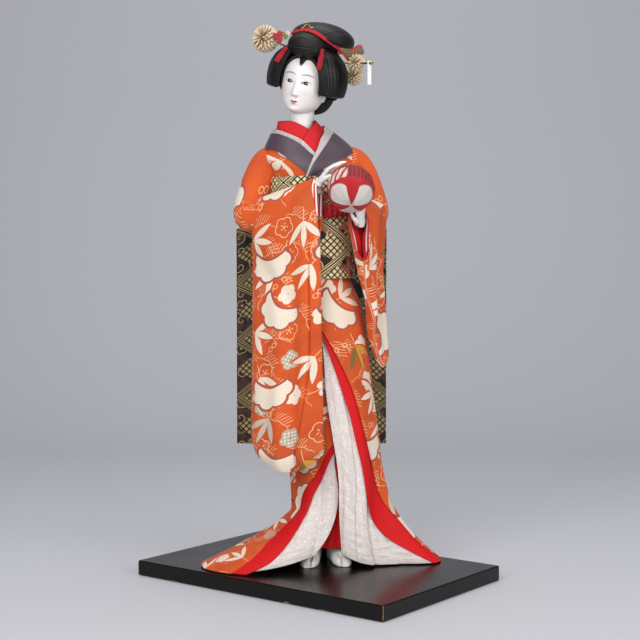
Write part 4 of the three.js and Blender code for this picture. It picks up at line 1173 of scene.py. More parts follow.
@dataclass(frozen=True)
class BallThread(Finish):
    """Wound silk thread: white petals from the pole on red, corded bands at one side, ribbed red behind."""

    red: str = "#c80d1a"
    dark: str = "#6f101b"
    white: str = "#ece2da"

    def build(self) -> Shader:
        """Builds petals, bands and ribs by angle round the pole and down from it."""
        shader = Shader(self.name, Roughness=0.6, Sheen_Weight=0.05, Sheen_Roughness=0.4)
        turn, tilt = shader.parts(shader.uv())
        near = (turn - 0.45).fold(TAU / 3).math("ABSOLUTE")
        rounded = ((tilt / 1.16) * (tilt / 1.16) + (near / 1.05) * (near / 1.05)).math("SQRT")
        patch = rounded.math("MAXIMUM", near / 0.68)
        ribs = turn.waves(TAU / 34)
        ribbed = shader.over(self.dark, self.red, ribs.math("MULTIPLY_ADD", 0.45, 0.4, clamped=True))
        wound = turn.near(2.35, 0.62, 0.05) * tilt.near(1.6, 0.34, 0.05)
        cords = (turn + tilt * 0.5).waves(0.31).within(-0.35, 0.3)
        colour = shader.over(ribbed, shader.over(self.white, self.red, cords), wound)
        colour = shader.over(colour, self.red, tilt.within(1.3, 0.03))
        colour = shader.over(colour, self.white, patch.within(1.0, 0.04))
        colour = shader.over(colour, self.white, tilt.within(0.07, 0.02))
        threads = (tilt + near * 0.6).waves(0.05)
        shader.set("Base Color",
                   shader.over(colour, self.dark, threads.math("MULTIPLY", 0.16, clamped=True)))
        raised = threads + patch.within(1.0, 0.12) * 3.0
        shader.bumped(raised + ribs * (tilt * -1.0 + 1.3).within(0.0, 0.05) * 1.5, 0.4, 0.8)
        return shader


@dataclass(frozen=True)
class Petals(Finish):
    """Crimped silk petals: pale fawn, deeper toward the heart of the pompon."""

    tip: str = "#d9c4a2"
    root: str = "#73583d"

    def build(self) -> Shader:
        """Builds the fade from root to tip."""
        shader = Shader(self.name, Roughness=0.75, Subsurface_Weight=0.1, Subsurface_Scale=0.001)
        _, along = shader.parts(shader.uv())
        shader.set("Base Color",
                   shader.over(self.root, self.tip, along.math("MULTIPLY", 1.2, clamped=True)))
        return shader


@dataclass(frozen=True)
class LoopRibbon(Finish):
    """Ribbon bow with a red selvage and an olive brocade middle."""

    edge: str = "#b81c26"
    middle: str = "#5b5230"

    def build(self) -> Shader:
        """Builds selvage, middle and woven sprigs."""
        shader = Shader(self.name, Roughness=0.6, Sheen_Weight=0.3)
        across, along = shader.parts(shader.uv())
        inside = across.near(6.5, 3.6, 0.5)
        colour = shader.over(self.edge, self.middle, inside)
        sprig = (across.waves(3.1) * along.waves(4.3)).math("GREATER_THAN", 0.35) * inside
        shader.set("Base Color", shader.over(colour, "#b9a05a", sprig * 0.7))
        shader.bumped(along.waves(0.6), 0.1, 0.5)
        return shader


@dataclass(frozen=True)
class BudSilk(Finish):
    """Pinched silk buds: red, leaf green and pale pink, each bud one colour."""

    red: str = "#b5222a"
    green: str = "#77804a"
    pink: str = "#e3c4bd"

    def build(self) -> Shader:
        """Builds the three colours and the pinched folds."""
        shader = Shader(self.name, Roughness=0.75, Sheen_Weight=0.3)
        kind, around = shader.parts(shader.uv())
        colour = shader.over(self.red, self.green, kind.math("GREATER_THAN", 0.5))
        colour = shader.over(colour, self.pink, kind.math("GREATER_THAN", 1.5))
        pinched = around.waves(0.2)
        shade = pinched.math("MULTIPLY", 0.25, clamped=True)
        shader.set("Base Color", shader.over(colour, "#2a0d0c", shade))
        shader.bumped(pinched, 0.3, 0.7)
        return shader


LACQUER = Lacquer("black lacquer")
WIRE = Plain("iron wire", "#8a8a88", 0.4, 1.0)
STRAW = Plain("straw core", "#b99a64", 0.95)
PAPER = Plain("wound paper", "#d8d2c6", 0.9)
WOOD = Plain("paulownia wood", "#b99a6a", 0.8)
TABI = Crepe("white tabi cotton", "#e9e7e3", "#cfcac3", 0.7, 0.06, 0.85)
KIMONO = KimonoCrepe("dyed kimono crepe")
RED_SILK = Crepe("red lining silk", "#d6060f", "#b8040c", 1.3, 0.1, 0.65)
RIGHT_CUFF = CuffSilk("red cuff silk with two cords", (-3.9, -0.9), 0.7)
LEFT_CUFF = CuffSilk("red cuff silk with one cord", (-2.0,), 0.75)
# Its puckers get painted shade in their hollows.
WHITE_CREPE = Crepe("white crepe", "#f7f0eb", "#dfd3cb", 1.5, 0.3, 0.8, pucker=2.4)
WHITE_COLLAR = Crepe("pleated white collar silk", "#e6dfda", "#bfb6b0", 1.0, 0.35, 0.7, 2.4)
# Its folded top edge gets a painted shadow line.
INNER_COLLAR = Crepe("scarlet collar silk", "#d8232a", "#b3171f", 0.9, 0.2, 0.7, fold=15.0)
PADDED_RED = Crepe("padded red crepe", "#c81e2c", "#941420", 1.6, 0.5, 0.6, 5.0)
MAUVE = Satin("mauve satin")
OBI = Brocade("obi brocade")
# Painted shade: the tails' brocade is the obi's weave in darker colours, for the tails hanging behind the
# figure.
OBI_TAIL = Brocade("obi tail brocade", "#090605", "#a08b58", "#48241c")
FACE = Gofun("painted gofun face")
HANDS = Gofun("gofun hands", painted=False)
GLASS = EyeGlass("glass eye")
HAIR = DressedHair("combed hair")
BALL = BallThread("ball thread")
FLOWER = Petals("fawn silk petals")
BUDS = BudSilk("pinched silk buds")
RIBBON = Crepe("red ribbon", "#c01c26", "#8f121b", 0.7, 0.2, 0.55)
LOOP = LoopRibbon("brocade ribbon loop")
TASSEL = Crepe("red silk tassel", "#c5202a", "#8d141c", 0.5, 0.2, 0.6)
GILT = Plain("gilt brass", "#c79d48", 0.32, 1.0)
# Painted highlight: the silver strip is near-white and not metallic, standing in for the bright reflection
# along it.
SILVER_HIGHLIGHT = Plain("silvered strip", "#fbfcfd", 0.35, 0.0, grime=0.02)


def dressed(piece: Piece, finish: Finish, body: Body, slot: str, *nodes: str) -> Piece:
    """Finishes a piece, sets it on the body it rides on and hides the solids that it stands for.

    Args:
        piece: object to finish.
        finish: its surface.
        body: what it rides on.
        slot: not used.
        nodes: solids that it stands for.
    Returns:
        The piece.
    """
    piece.data.materials.clear()
    piece.data.materials.append(finish.material())
    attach(piece, body.value)
    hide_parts(*nodes)
    LOG.info("%s: %d faces, %s", piece.name, len(piece.data.polygons), finish.name)
    return piece


# Skirts

WRAP_STACK = KIMONO_OUT + CLOTH_THICK + WRAP_PITCH * (1 + 2 * WRAP_START / 360) + UNDER_OUT
WAIST_WIDE = OBI_WIDE / 2 - WRAP_STACK
WAIST_DEEP = OBI_DEEP / 2 - WRAP_STACK
HIP_X = through((0, 12), (45, 15), (85, 17), (130, 12), (180, 5), (232, 0), (OBI_BOTTOM, -4),
                (WAIST_HEIGHT, -4))
HIP_Y = through((0, 3), (120, 1), (WAIST_HEIGHT, 0))
HIP_WIDE = through((0, 27), (45, 30), (85, 34), (130, 36), (232, 36), (258, 33), (OBI_BOTTOM, WAIST_WIDE),
                   (WAIST_HEIGHT, WAIST_WIDE))
HIP_DEEP = through((0, 22), (85, 25), (130, 28), (232, 30), (258, 27), (OBI_BOTTOM, WAIST_DEEP),
                   (WAIST_HEIGHT, WAIST_DEEP))
SPREAD = through((-180, 54), (-120, 66), (-71, 97), (-51, 82), (-25, 40), (0, 14), (30, 14), (55, 26),
                 (69, 40), (80, 70), (97, 74), (115, 52), (140, 42), (165, 46), (180, 54))


def on_skirt(angle: Array, height: Array, out: Array) -> Array:
    """Points on the skirts.

    Args:
        angle: degrees from the front.
        height: above the board.
        out: distance outside the core.
    Returns:
        Points in the figure's frame.
    """
    facing = facing_of(angle)
    side = np.sin(np.radians(facing))
    low = np.maximum(0, 1 - height / (82 + 28 * side))
    flare = SPREAD(facing) * low ** (1.7 + 0.4 * side)
    fall = np.maximum(0, 1 - height / SKIRT_TOP)
    fold = HEM_FOLD * fall ** 2 * np.cos(np.radians(facing * HEM_FOLDS))
    crease = 0.9 * fall * (1 - fall) * np.cos(np.radians(facing * 14) + height / 45)
    reach = out + flare + fold + crease
    x = HIP_X(height) + (HIP_WIDE(height) + reach) * side
    y = HIP_Y(height) - (HIP_DEEP(height) + reach) * np.cos(np.radians(facing))
    return np.stack([x, y, height], -1)


@dataclass(frozen=True)
class SkirtLayer:
    """A skirt that wraps from its under edge round the back to its upper edge."""

    node: str
    out: float
    under: Curve
    over: Curve
    finish: Finish
    slot: str
    flat: tuple[float, float]
    area: float
    rising: bool = False
    tuck: float = 0.0
    size: tuple[int, int] = (250, 110)

    def hem(self, angle: Array) -> Array:
        """Height of the hem at an angle; the white one rises over the feet."""
        rise = WHITE_HEM_RISE if self.rising else 0.0
        return HEM_LIFT + 0.7 + rise * np.exp(-(((facing_of(angle) + 2) / 32) ** 2))

    def surface(self, u: Array, v: Array) -> Array:
        """Middle of the cloth.

        Args:
            u: shares from the under edge to the upper one.
            v: shares down.
        Returns:
            Points in the figure's frame.
        """
        rows = HEM_LIFT + (SKIRT_TOP - HEM_LIFT) * (1 - v) ** 2
        first = mixed(self.under(rows), self.over(rows) - 360, u)
        hem = self.hem(first)
        height = hem + (SKIRT_TOP - hem) * (1 - v) ** 2
        angle = mixed(self.under(height), self.over(height) - 360, u)
        turns = (WRAP_START - angle) / 360
        fall = 1 - height / SKIRT_TOP
        grooves = (0.5 + 0.5 * np.cos(np.radians(angle * 20) + height / 60)) ** 4
        folds = self.tuck * np.where(u > 0.5, 1.2 * fall, fall ** 5) * grooves
        return on_skirt(angle, height, self.out + CLOTH_THICK / 2 + WRAP_PITCH * turns - folds)

    def build(self) -> None:
        """Makes and dresses the layer."""
        piece = grid("shown_" + self.node, self.size, self.surface, FIGURE, rolled_out(330, 300))
        if self.finish is KIMONO:
            unwrapped(piece)
        cloth_of(piece, KIMONO_CLOTH)
        dressed(piece, self.finish, Body.STAND, self.slot, self.node)


@dataclass(frozen=True)
class Skirts:
    """The four skirts, from the red one next to the legs to the patterned one outside."""

    def build(self) -> None:
        """Makes all the layers."""
        self.underskirt()
        SkirtLayer("white_underskirt", WHITE_OUT,
                   through((12, -19), (40, 0), (63, 6), (113, 4), (150, 36), (SKIRT_TOP, WRAP_START)),
                   through((12, 16), (63, 7), (112, 4.5), (162, 3), (228, 4), (250, -10),
                           (SKIRT_TOP, -WRAP_START)),
                   WHITE_CREPE, "white_cloth", (0.44, 0.33), 0.12, rising=True, tuck=3.4).build()
        SkirtLayer("kimono_lining", LINING_OUT,
                   through((0, -48), (12, -41), (63, -35), (88, -17), (110, 0), (150, 36),
                           (SKIRT_TOP, WRAP_START)),
                   through((0, 79), (23, 70), (63, 46), (112, 34), (162, 26), (228, 5), (250, -10),
                           (SKIRT_TOP, -WRAP_START)),
                   RED_SILK, "red_cloth", (0.44, 0.34), 0.12).build()
        SkirtLayer("kimono_skirt", KIMONO_OUT,
                   through((0, -54), (15, -53), (36, -58), (63, -56), (93, -24), (118, -2), (150, 36),
                           (SKIRT_TOP, WRAP_START)),
                   through((0, 92), (14, 83), (43, 79), (83, 61), (132, 45), (177, 34.5), (230, 8),
                           (250, -10), (SKIRT_TOP, -WRAP_START)),
                   KIMONO, "kimono", (0.4, 0.32), 0.1).build()

    def underskirt(self) -> None:
        """The straight red skirt round the legs."""
        def surface(u: Array, v: Array) -> Array:
            """Points at shares u round the legs and v down the skirt."""
            height = mixed(SKIRT_TOP, UNDERSKIRT_HEM, v)
            angle = u * TAU
            pleat = 0.5 * v * np.cos(angle * 17)
            out = UNDER_OUT + CLOTH_THICK / 2 + pleat
            x = HIP_X(height) + (HIP_WIDE(height) + out) * np.sin(angle)
            y = HIP_Y(height) - (HIP_DEEP(height) + out) * np.cos(angle)
            return np.stack([x, y, height], -1)

        piece = grid("shown_red_underskirt", (140, 50), surface, FIGURE, rolled_out(205, 284))
        edit_all(piece, weld)
        cloth_of(piece, LINING_CLOTH)
        dressed(piece, RED_SILK, Body.STAND, "red_cloth", "red_underskirt")


# Bodice, collars and obi

CHEST_X = through((WAIST_HEIGHT, -4), (380, -6), (410, -9), (440, -12))
CHEST_Y = through((WAIST_HEIGHT, 0), (385, 0), (410, 1.5), (440, 5))
CHEST_WIDE = through((WAIST_HEIGHT, 30), (360, 31.5), (386, 32.5), (396, 41), (404, 41), (412, 36),
                     (428, 26), (446, 18))
CHEST_DEEP = through((WAIST_HEIGHT, 24.5), (360, 26), (386, 26.5), (396, 26), (412, 22), (428, 19),
                     (446, 16.5))
COLLAR_LINE = through((-388, 380), (-360, 399), (-315, 420), (-270, 430), (-180, 434), (-90, 430),
                      (-45, 419), (0, 404), (28, 391))
COLLAR_STEP = 1.6
COLLAR_HUG = 12.0
COLLAR_HUG_FROM = 20.0
COLLAR_GAP = 0.6
OBI_X = through((OBI_BOTTOM, -4), (OBI_TOP, -6))


def on_chest(angle: Array, height: Array, out: Array) -> Array:
    """Points outside the chest core, at angles from the front in degrees.

    Args:
        angle: degrees from the front.
        height: above the board.
        out: distance outside the core.
    Returns:
        Points in the figure's frame.
    """
    turn = np.radians(angle)
    x = CHEST_X(height) + (CHEST_WIDE(height) + out) * np.sin(turn)
    y = CHEST_Y(height) - (CHEST_DEEP(height) + out) * np.cos(turn)
    return np.stack([x, y, height], -1)


def collar_in(angle: Array, height: Array) -> Array:
    """How far the collars lean in toward the neck, most on the left side and at their upper edge.

    Args:
        angle: degrees from the front.
        height: above the board.
    Returns:
        Distances in millimetres.
    """
    near = np.where(angle > -180, angle, angle + 360)
    side = np.where(near > 0, np.clip(near / 60, 0, 1) ** 1.5, -0.3 * np.clip(-near / 60, 0, 1))
    up = np.clip((height - COLLAR_LINE(angle) + COLLAR_HUG_FROM) / (COLLAR_HUG_FROM + 6), 0, 1.1)
    return COLLAR_HUG * side * np.clip((170 - np.abs(near)) / 60, 0, 1) * up ** 1.5


@dataclass(frozen=True)
class Collar:
    """A collar band that crosses at the front, the doll's left end over the right one."""

    node: str
    low: Curve
    high: Curve
    stack: tuple[float, float]
    width: float
    finish: Finish
    slot: str
    pleats: int = 0
    length: float = 330.0

    def surface(self, u: Array, v: Array) -> Array:
        """Middle of the band.

        Args:
            u: shares along the band.
            v: shares up it.
        Returns:
            Points in the figure's frame.
        """
        angle = mixed(26.0, -386.0, u)
        height = mixed(self.low(angle), self.high(angle), v)
        puff = 0.4 * np.sin(v * math.pi)
        ripple = 0.22 * np.cos(u * TAU * self.pleats) if self.pleats else 0.0
        out = COLLAR_GAP + 0.5 + COLLAR_STEP * mixed(self.stack[0], self.stack[1], u) + puff + ripple
        return on_chest(angle, height, out - collar_in(angle, height))

    def build(self) -> None:
        """Makes and dresses the band."""
        uv = rolled_along(self.width, self.length)
        piece = grid("shown_" + self.node, (300, 14), self.surface, FIGURE, uv)
        cloth_of(piece, LINING_CLOTH)
        dressed(piece, self.finish, Body.STAND, self.slot, self.node)
        self.width * MM


@dataclass(frozen=True)
class UpperDress:
    """Bodice, collars, obi with its padded cord, knot and tails."""

    bodice_out: float = 3.8

    def build(self) -> None:
        """Makes all the pieces."""
        self.bodice()
        self.collars()
        self.obi()
        self.cord()
        self.knot()
        self.tail("right_obi_tail", -45)
        self.tail("left_obi_tail", 33)

    def collars(self) -> None:
        """Red collar of the inner robe, and over it the white and mauve pair of the next."""
        Collar("inner_collar",
               through((-386, 398), (-368, 400), (-352, 400), (-339, 406), (-316, 414), (-270, 424),
                       (-180, 428), (-90, 425), (-41, 420), (-7, 411), (9, 400), (26, 394)),
               through((-386, 404), (-368, 418.5), (-355, 429), (-340, 435), (-319, 439.5), (-270, 438),
                       (-180, 441), (-70, 438.5), (-30, 437.5), (-9, 433.5), (5, 429.5), (26, 418)),
               (0, 1), 15, INNER_COLLAR, "inner_collar").build()
        Collar("middle_collar",
               through((-386, 372), (-372, 373), (-365, 379), (-352, 395.5), (-339, 408), (-316, 418),
                       (-270, 424), (-180, 424), (-70, 424), (-45, 422), (-13, 413.5), (7, 399.5),
                       (26, 387)),
               through((-386, 374), (-372, 377), (-363, 388.5), (-352, 405), (-335, 421), (-300, 430),
                       (-270, 434.5), (-180, 435), (-90, 431.5), (-70, 430.5), (-41, 427), (-7, 418),
                       (9, 405.5), (26, 392)),
               (2, 4), 10, WHITE_COLLAR, "white_cloth", 90).build()
        Collar("outer_collar",
               through((-386, 371), (-372, 372), (-364, 381), (-336, 393), (-316, 401), (-270, 412),
                       (-180, 412), (-90, 410), (-70, 410.5), (-43, 408), (-27, 401.5), (-16, 393),
                       (-6, 385), (26, 374)),
               through((-386, 373), (-372, 375), (-364, 382.5), (-353, 398), (-340, 410), (-318, 420.5),
                       (-270, 428), (-180, 428), (-70, 426), (-45, 424.5), (-13, 416), (7, 402), (26, 388)),
               (3, 5), 18, MAUVE, "outer_collar").build()

    def bodice(self) -> None:
        """Ring of patterned cloth from under the obi to the collars."""
        def surface(u: Array, v: Array) -> Array:
            """Points at shares u round the chest and v up it."""
            angle = mixed(10.0, -366.0, u)
            top = COLLAR_LINE(angle) - 8.5
            height = mixed(WAIST_HEIGHT + 4, top, v ** 0.7)
            out = self.bodice_out + CLOTH_THICK / 2 + 1.1 * u
            return on_chest(angle, height, out - collar_in(angle, height))

        piece = grid("shown_kimono_bodice", (150, 60), surface, FIGURE, rolled_out(225, 120))
        cloth_of(piece, KIMONO_CLOTH)
        dressed(piece, KIMONO, Body.STAND, "kimono", "kimono_bodice")

    def obi(self) -> None:
        """The band itself, wound flat with soft edges."""
        def surface(u: Array, v: Array) -> Array:
            """Points at shares u round the band and v up it."""
            height = mixed(OBI_BOTTOM, OBI_TOP, v)
            angle = u * TAU
            bow = 0.6 * np.sin(v * math.pi) + 0.3 * np.cos(angle * 3 + v * 5)
            out = OBI_THICK / 2 + bow
            x = OBI_X(height) + (OBI_WIDE / 2 + out) * np.sin(angle)
            return np.stack([x, -(OBI_DEEP / 2 + out) * np.cos(angle), height], -1)

        piece = grid("shown_obi_band", (160, 48), surface, FIGURE, rolled_out(233, 99))
        edit_all(piece, weld)
        cloth_of(piece, OBI_CLOTH)
        dressed(piece, OBI, Body.STAND, "brocade", "obi_band")

    def cord(self) -> None:
        """Stuffed red cord tied round the obi."""
        def surface(u: Array, v: Array) -> Array:
            """Points at shares u round the obi and v round the cord."""
            angle, around = u * TAU, v * TAU
            pinch = 0.35 * np.cos(angle * 44 + 0.8 * np.sin(around)) + 0.25 * np.cos(angle * 19 + 2 * around)
            half = OBI_CORD_THICK / 2
            out = OBI_THICK + half + 0.4 + (half - 0.3 + pinch * 0.5) * np.cos(around)
            swell = (OBI_CORD_HIGH / 2 + pinch * 0.5) * np.sin(around)
            height = OBI_CORD_HEIGHT + OBI_CORD_RISE * np.sin(angle) + swell
            x = OBI_X(height) + (OBI_WIDE / 2 + out) * np.sin(angle)
            return np.stack([x, -(OBI_DEEP / 2 + out) * np.cos(angle), height], -1)

        piece = grid("shown_obi_cord", (360, 36), surface, FIGURE, rolled_along(33, 260))
        edit_all(piece, weld)
        smooth(piece)
        dressed(piece, PADDED_RED, Body.STAND, "red_cloth", "obi_cord")

    def knot(self) -> None:
        """Soft drum of brocade at the back."""
        middle = (-5, OBI_BACK + 9.75, OBI_TOP - 24)
        piece = ellipsoid("shown_obi_knot", middle, (39.5, 12.5, 23.5), FIGURE, 0, (96, 64))
        dressed(piece, OBI, Body.STAND, "brocade", "obi_knot")

    def tail(self, node: str, middle: float) -> None:
        """Hanging end with soft lengthwise folds.

        Args:
            node: its node name.
            middle: sideways place of its middle.
        """
        def surface(u: Array, v: Array) -> Array:
            """Points at shares u across the tail and v down it."""
            x = middle + (u - 0.5) * TAIL_WIDTH
            fold = 1.6 * v * np.cos(u * 2 * TAU) + 1.1 * (1 - v) ** 3 * np.cos(u * 5 * TAU)
            y = TAIL_OUT + fold + 1.5 + 3 * np.sin(v * math.pi)
            top = TAIL_TOP - TAIL_SLOPE * np.clip((np.abs(x + 6) - 20) / 57, 0, 1) ** 1.4
            return np.stack([x, y, mixed(top, TAIL_BOTTOM, v)], -1)

        piece = grid("shown_" + node, (48, 120), surface, FIGURE, rolled_out(TAIL_WIDTH, TAIL_LENGTH))
        cloth_of(piece, TAIL_CLOTH)
        dressed(piece, OBI_TAIL, Body.STAND, "brocade", node)


# Sleeves and hands

SLEEVE_TAPER = 60.0
SLEEVE_FOOT = 12.0
LINING_DROP = 70.0
CUFF_BAND = 40.0
LIP_DEPTH = 0.16
HAND_VOXEL = 0.45
FINGER_HALF = through((0, 2.0), (0.5, 1.85), (0.85, 1.55), (1, 0.8))
THUMB_HALF = through((0, 2.1), (0.5, 1.9), (0.85, 1.6), (1, 0.8))


@dataclass(frozen=True)
class Sleeve:
    """A long hanging sleeve: a tube over the upper arm and a pouch along the forearm, open at the cuff."""

    side: Side
    inside: Point
    shoulder: Point
    elbow: Point
    wrist: Point
    low: Curve
    drop_x: tuple[float, float]
    drop_y: tuple[float, float]
    bulge: float
    top: float
    tube_radii: tuple[float, float, float, float]
    start: float
    mouth: float
    opening: float
    cut: float
    rim: tuple[float, float]
    cuff_finish: Finish
    flats: tuple[tuple[float, float], tuple[float, float]]
    crease: float = 0.0
    lips: bool = False
    pouch: float = 5.5

    @property
    def name(self) -> str:
        """The sleeve's node name."""
        return self.side.named("sleeve")

    @property
    def cuff(self) -> float:
        """Height of the foot of the cuff's opening."""
        return self.wrist[2] - self.opening

    @property
    def length(self) -> float:
        """Length from elbow to wrist."""
        return math.dist(self.elbow, self.wrist)

    def sleeve_end(self, around: Array) -> Array:
        """Place along the forearm where the sleeve ends, cut back at the top of the cuff."""
        down = (self.wrist[2] + self.top - self.low(np.ones(1))) * (1 - np.abs(2 * around - 1)) ** 1.8
        return 1 - self.cut * np.clip(1 - down / CUFF_BAND, 0, 1) / self.length

    def rim_end(self, around: Array) -> Array:
        """Place along the forearm where the lining ends, past the cuff at its top and drawn back under it."""
        down = (self.top + LINING_DROP) * (1 - np.abs(2 * around - 1)) ** 1.8
        return 1 + mixed(self.rim[0], -self.rim[1],
                         np.clip((down - CUFF_BAND + 4) / 10, 0, 1)) / self.length

    def ring(self, share: Array, around: Array, inset: float, bottom: float) -> Array:
        """Points of the pouch.

        Args:
            share: place along the forearm, from the elbow to the wrist.
            around: place round the section, from the top down one side and up the other.
            inset: how far inside the outer surface.
            bottom: lowest height that the section reaches.
        Returns:
            Points in the figure's frame.
        """
        elbow, wrist = np.array(self.elbow), np.array(self.wrist)
        middle = mixed(elbow, wrist, share[:, None])
        along = unit((wrist - elbow) * np.array([1, 1, 0]))
        thick = np.array([-along[1], along[0], 0])
        sense = np.where(around < 0.5, 1.0, -1.0)
        row = 1 - np.abs(2 * around - 1)
        bulge = self.bulge * np.sin(np.maximum(0, share) * math.pi)
        drop = np.stack([mixed(*self.drop_x, share), mixed(*self.drop_y, share) - bulge], -1)
        lowest = self.low(share)
        peak = middle[:, 2] + self.top
        low = np.maximum(bottom, lowest + inset)
        height = mixed(peak - inset, low, row ** 1.8)
        above = np.maximum(0, (height - middle[:, 2]) / self.top)
        round_top = np.sqrt(np.maximum(0, 1 - above * above))
        slim = mixed(self.top, self.pouch, np.clip((middle[:, 2] - height) / SLEEVE_TAPER, 0, 1))
        foot = np.minimum(1, np.sqrt(np.maximum(0, (height - low) / SLEEVE_FOOT)))
        closed_end = np.sqrt(np.clip((share - self.start) / 0.1, 0, 1))
        sewn = np.clip((self.cuff - height) / 12, 0, 1) * (inset == 0)
        seam = mixed(1.0, np.sqrt(np.clip((1 - share) / 0.1, 0, 1)), sewn)
        slim = slim * mixed(1.0, self.mouth, np.clip((share - 0.6) / 0.4, 0, 1))
        half = np.maximum(0, slim * round_top * foot * closed_end * seam - inset)
        if self.lips and inset:
            shut = 1.2 + 4.8 * np.exp(-(((height - self.wrist[2]) / 10) ** 2))
            half = np.minimum(half, mixed(shut, half, np.clip((share - 1) / LIP_DEPTH + 1, 0, 1)))
        hang = np.clip((middle[:, 2] - height) / 200, 0, 1)
        sway = 1.5 * hang * np.sin(share * 3.3 * TAU + 1.0)
        fold = 1.6 * np.sin(share * 2 * TAU) * np.minimum(1, row * 2) + sway
        if self.crease:
            place = self.crease - 0.22 * np.clip((230 - height) / 110, 0, 1) ** 2
            shown = np.clip((330 - height) / 40, 0, 1) * np.minimum(1, half / 3)
            step = 1 / (1 + np.exp(np.clip((place - share) / 0.005, -30, 30)))
            groove = np.exp(-(((share - place + 0.014) / 0.014) ** 2))
            half = half + (1.4 * step - 2.4 * groove) * shown
            hollow = np.exp(-(((height - 318 + 90 * share) / 11) ** 2)) * np.clip((0.85 - share) / 0.3, 0,
                                                                                  1)
            fold = fold - 2.2 * hollow * sense
        lean = (peak - height) / (peak - lowest)
        points = np.concatenate([middle[:, :2] + (drop - middle[:, :2]) * lean[:, None], height[:, None]],
                                1)
        return points + thick * (sense * half + fold)[:, None]

    def pouch_piece(self, name: str, start: float, end: Curve, inset: float, bottom: float) -> Piece:
        """The pouch from one place along the forearm to an end that may vary round it, open at both.

        Args:
            name: object name.
            start: place where it starts.
            end: place where it ends, by share round it.
            inset: as for the ring.
            bottom: as for the ring.
        Returns:
            The sheet, without thickness yet.
        """
        def surface(u: Array, v: Array) -> Array:
            """Points at shares u round the section and v along the forearm."""
            return self.ring(mixed(start, end(u), v), u, inset, bottom)

        def uv(u: Array, v: Array) -> Array:
            """Millimetres along the forearm and down from its top."""
            share = mixed(start, end(u), v)
            points = self.ring(share, u, inset, bottom)
            peak = mixed(self.elbow[2], self.wrist[2], share) + self.top
            return np.stack([(share - 1) * self.length, (peak - points[:, 2]) * np.where(u < 0.5, 1, -1)],
                            -1)

        piece = grid(name, (170, 200), surface, FIGURE, uv)
        edit_all(piece, weld)
        return piece

    def build(self) -> None:
        """Makes the sleeve and the lining that edges its cuff."""
        pouch = self.pouch_piece("pouch", self.start, self.sleeve_end, 0, 0)
        applied(pouch, "SOLIDIFY", thickness=KIMONO_CLOTH * MM, offset=-1.0)
        elbow, wrist = np.array(self.elbow), np.array(self.wrist)
        path = path_through([self.inside, self.shoulder, self.elbow, tuple(mixed(elbow, wrist, 0.35))])
        radii = through(*zip((0, 1 / 3, 2 / 3, 1), self.tube_radii))
        upper = tube("upper_arm", path, radii, (64, 60), FIGURE, thick=KIMONO_CLOTH)
        piece = joined("shown_" + self.name, [pouch, upper])
        smooth(piece, 60)
        dressed(piece, KIMONO, Body.STAND, "kimono", self.name)
        self.side.named("arm")
        foot = self.wrist[2] - LINING_DROP + 0.4
        lining = self.pouch_piece("shown_" + self.name + "_lining", 0.55, self.rim_end, 1.6, foot)
        cloth_of(lining, LINING_CLOTH)
        dressed(lining, self.cuff_finish, Body.STAND, "red_cloth", self.name + "_lining")
        self.name


RIGHT_SLEEVE = Sleeve(
    Side.RIGHT, (-32, 2, 402), (-51, 1, 394), (-67, -14, 346), (2, -58, 369),
    through((0.05, 126), (0.12, 114), (0.3, 103), (0.55, 98), (0.8, 103), (1, 116)),
    (-70, 6), (-24, -58), 14.0, 12.5, (13, 16, 15, 11.5), 0.06, 0.5, 32.0, 6.0, (0.6, 14.0), RIGHT_CUFF,
    ((0.17, 0.26), (0.045, 0.15)), crease=0.89,
)
LEFT_SLEEVE = Sleeve(
    Side.LEFT, (20, 2, 402), (39, 1, 393), (55, -6, 351), (39, -46, 338),
    through((-0.2, 205), (0.15, 196), (0.5, 226), (1, 300)),
    (66, 44), (-2, -50), 0.0, 14.0, (13, 16, 15.5, 12.5), -0.12, 0.8, 70.0, 0.0, (1.5, -1.5), LEFT_CUFF,
    ((0.1, 0.2), (0.025, 0.15)), lips=True,
)


@dataclass(frozen=True)
class Hand:
    """A carved hand with its wrist at the origin, fingers along +X and palm down."""

    side: Side
    wrist: Point
    along: Point
    elbow: Point
    curl: float
    thumb: int

    def place(self) -> Place:
        """The hand's own frame in the part."""
        x = unit(np.array(self.along))
        palm = np.array(BALL_MIDDLE) - np.array(self.wrist)
        y = unit(np.cross(-palm, x))
        turn = np.stack([x, y, np.cross(x, y)], 1)
        return FIGURE.inner(turn, self.wrist)

    def build(self) -> None:
        """Makes palm, fingers and thumb, and fuses them."""
        place = self.place()

        def palm(u: Array, v: Array) -> Array:
            """Points at shares u round the palm and v along it."""
            wide, thick = mixed(3.6, 6.0, v), mixed(3.6, 2.7, v)
            return np.stack([mixed(-4.0, 15.0, v), wide * np.cos(u * TAU), thick * np.sin(u * TAU)], -1)

        base = grid("palm", (32, 20), palm, place)
        edit_all(base, fill)
        wrist, elbow = np.array(self.wrist), np.array(self.elbow)
        forearm = path_through([tuple(mixed(wrist, elbow, share)) for share in (0, 0.25, 0.5)])
        pieces = [base, tube("forearm", forearm, through((0, 3.7), (1, 4.3)), (28, 16), FIGURE)]
        for side, length in zip((-4.4, -1.5, 1.5, 4.4), (14, 17, 18, 16)):
            points = [(12 + length * share, side * (1 + 0.15 * share),
                       -self.curl * length * share * share * 0.5)
                      for share in np.linspace(0, 1, 5)]
            pieces.append(tube("finger", path_through(points), FINGER_HALF, (14, 24), place))
        points = [(1, 3.5 * self.thumb, -1), (7, 6.5 * self.thumb, -3), (13, 7 * self.thumb, -6)]
        pieces.append(tube("thumb", path_through(points), THUMB_HALF, (14, 24), place))
        node = self.side.named("hand")
        hand = joined("shown_" + node, pieces)
        applied(hand, "REMESH", mode="VOXEL", voxel_size=HAND_VOXEL * MM)
        applied(hand, "SMOOTH", factor=0.5, iterations=5)
        smooth(hand)
        dressed(hand, HANDS, Body.STAND, "skin", node)


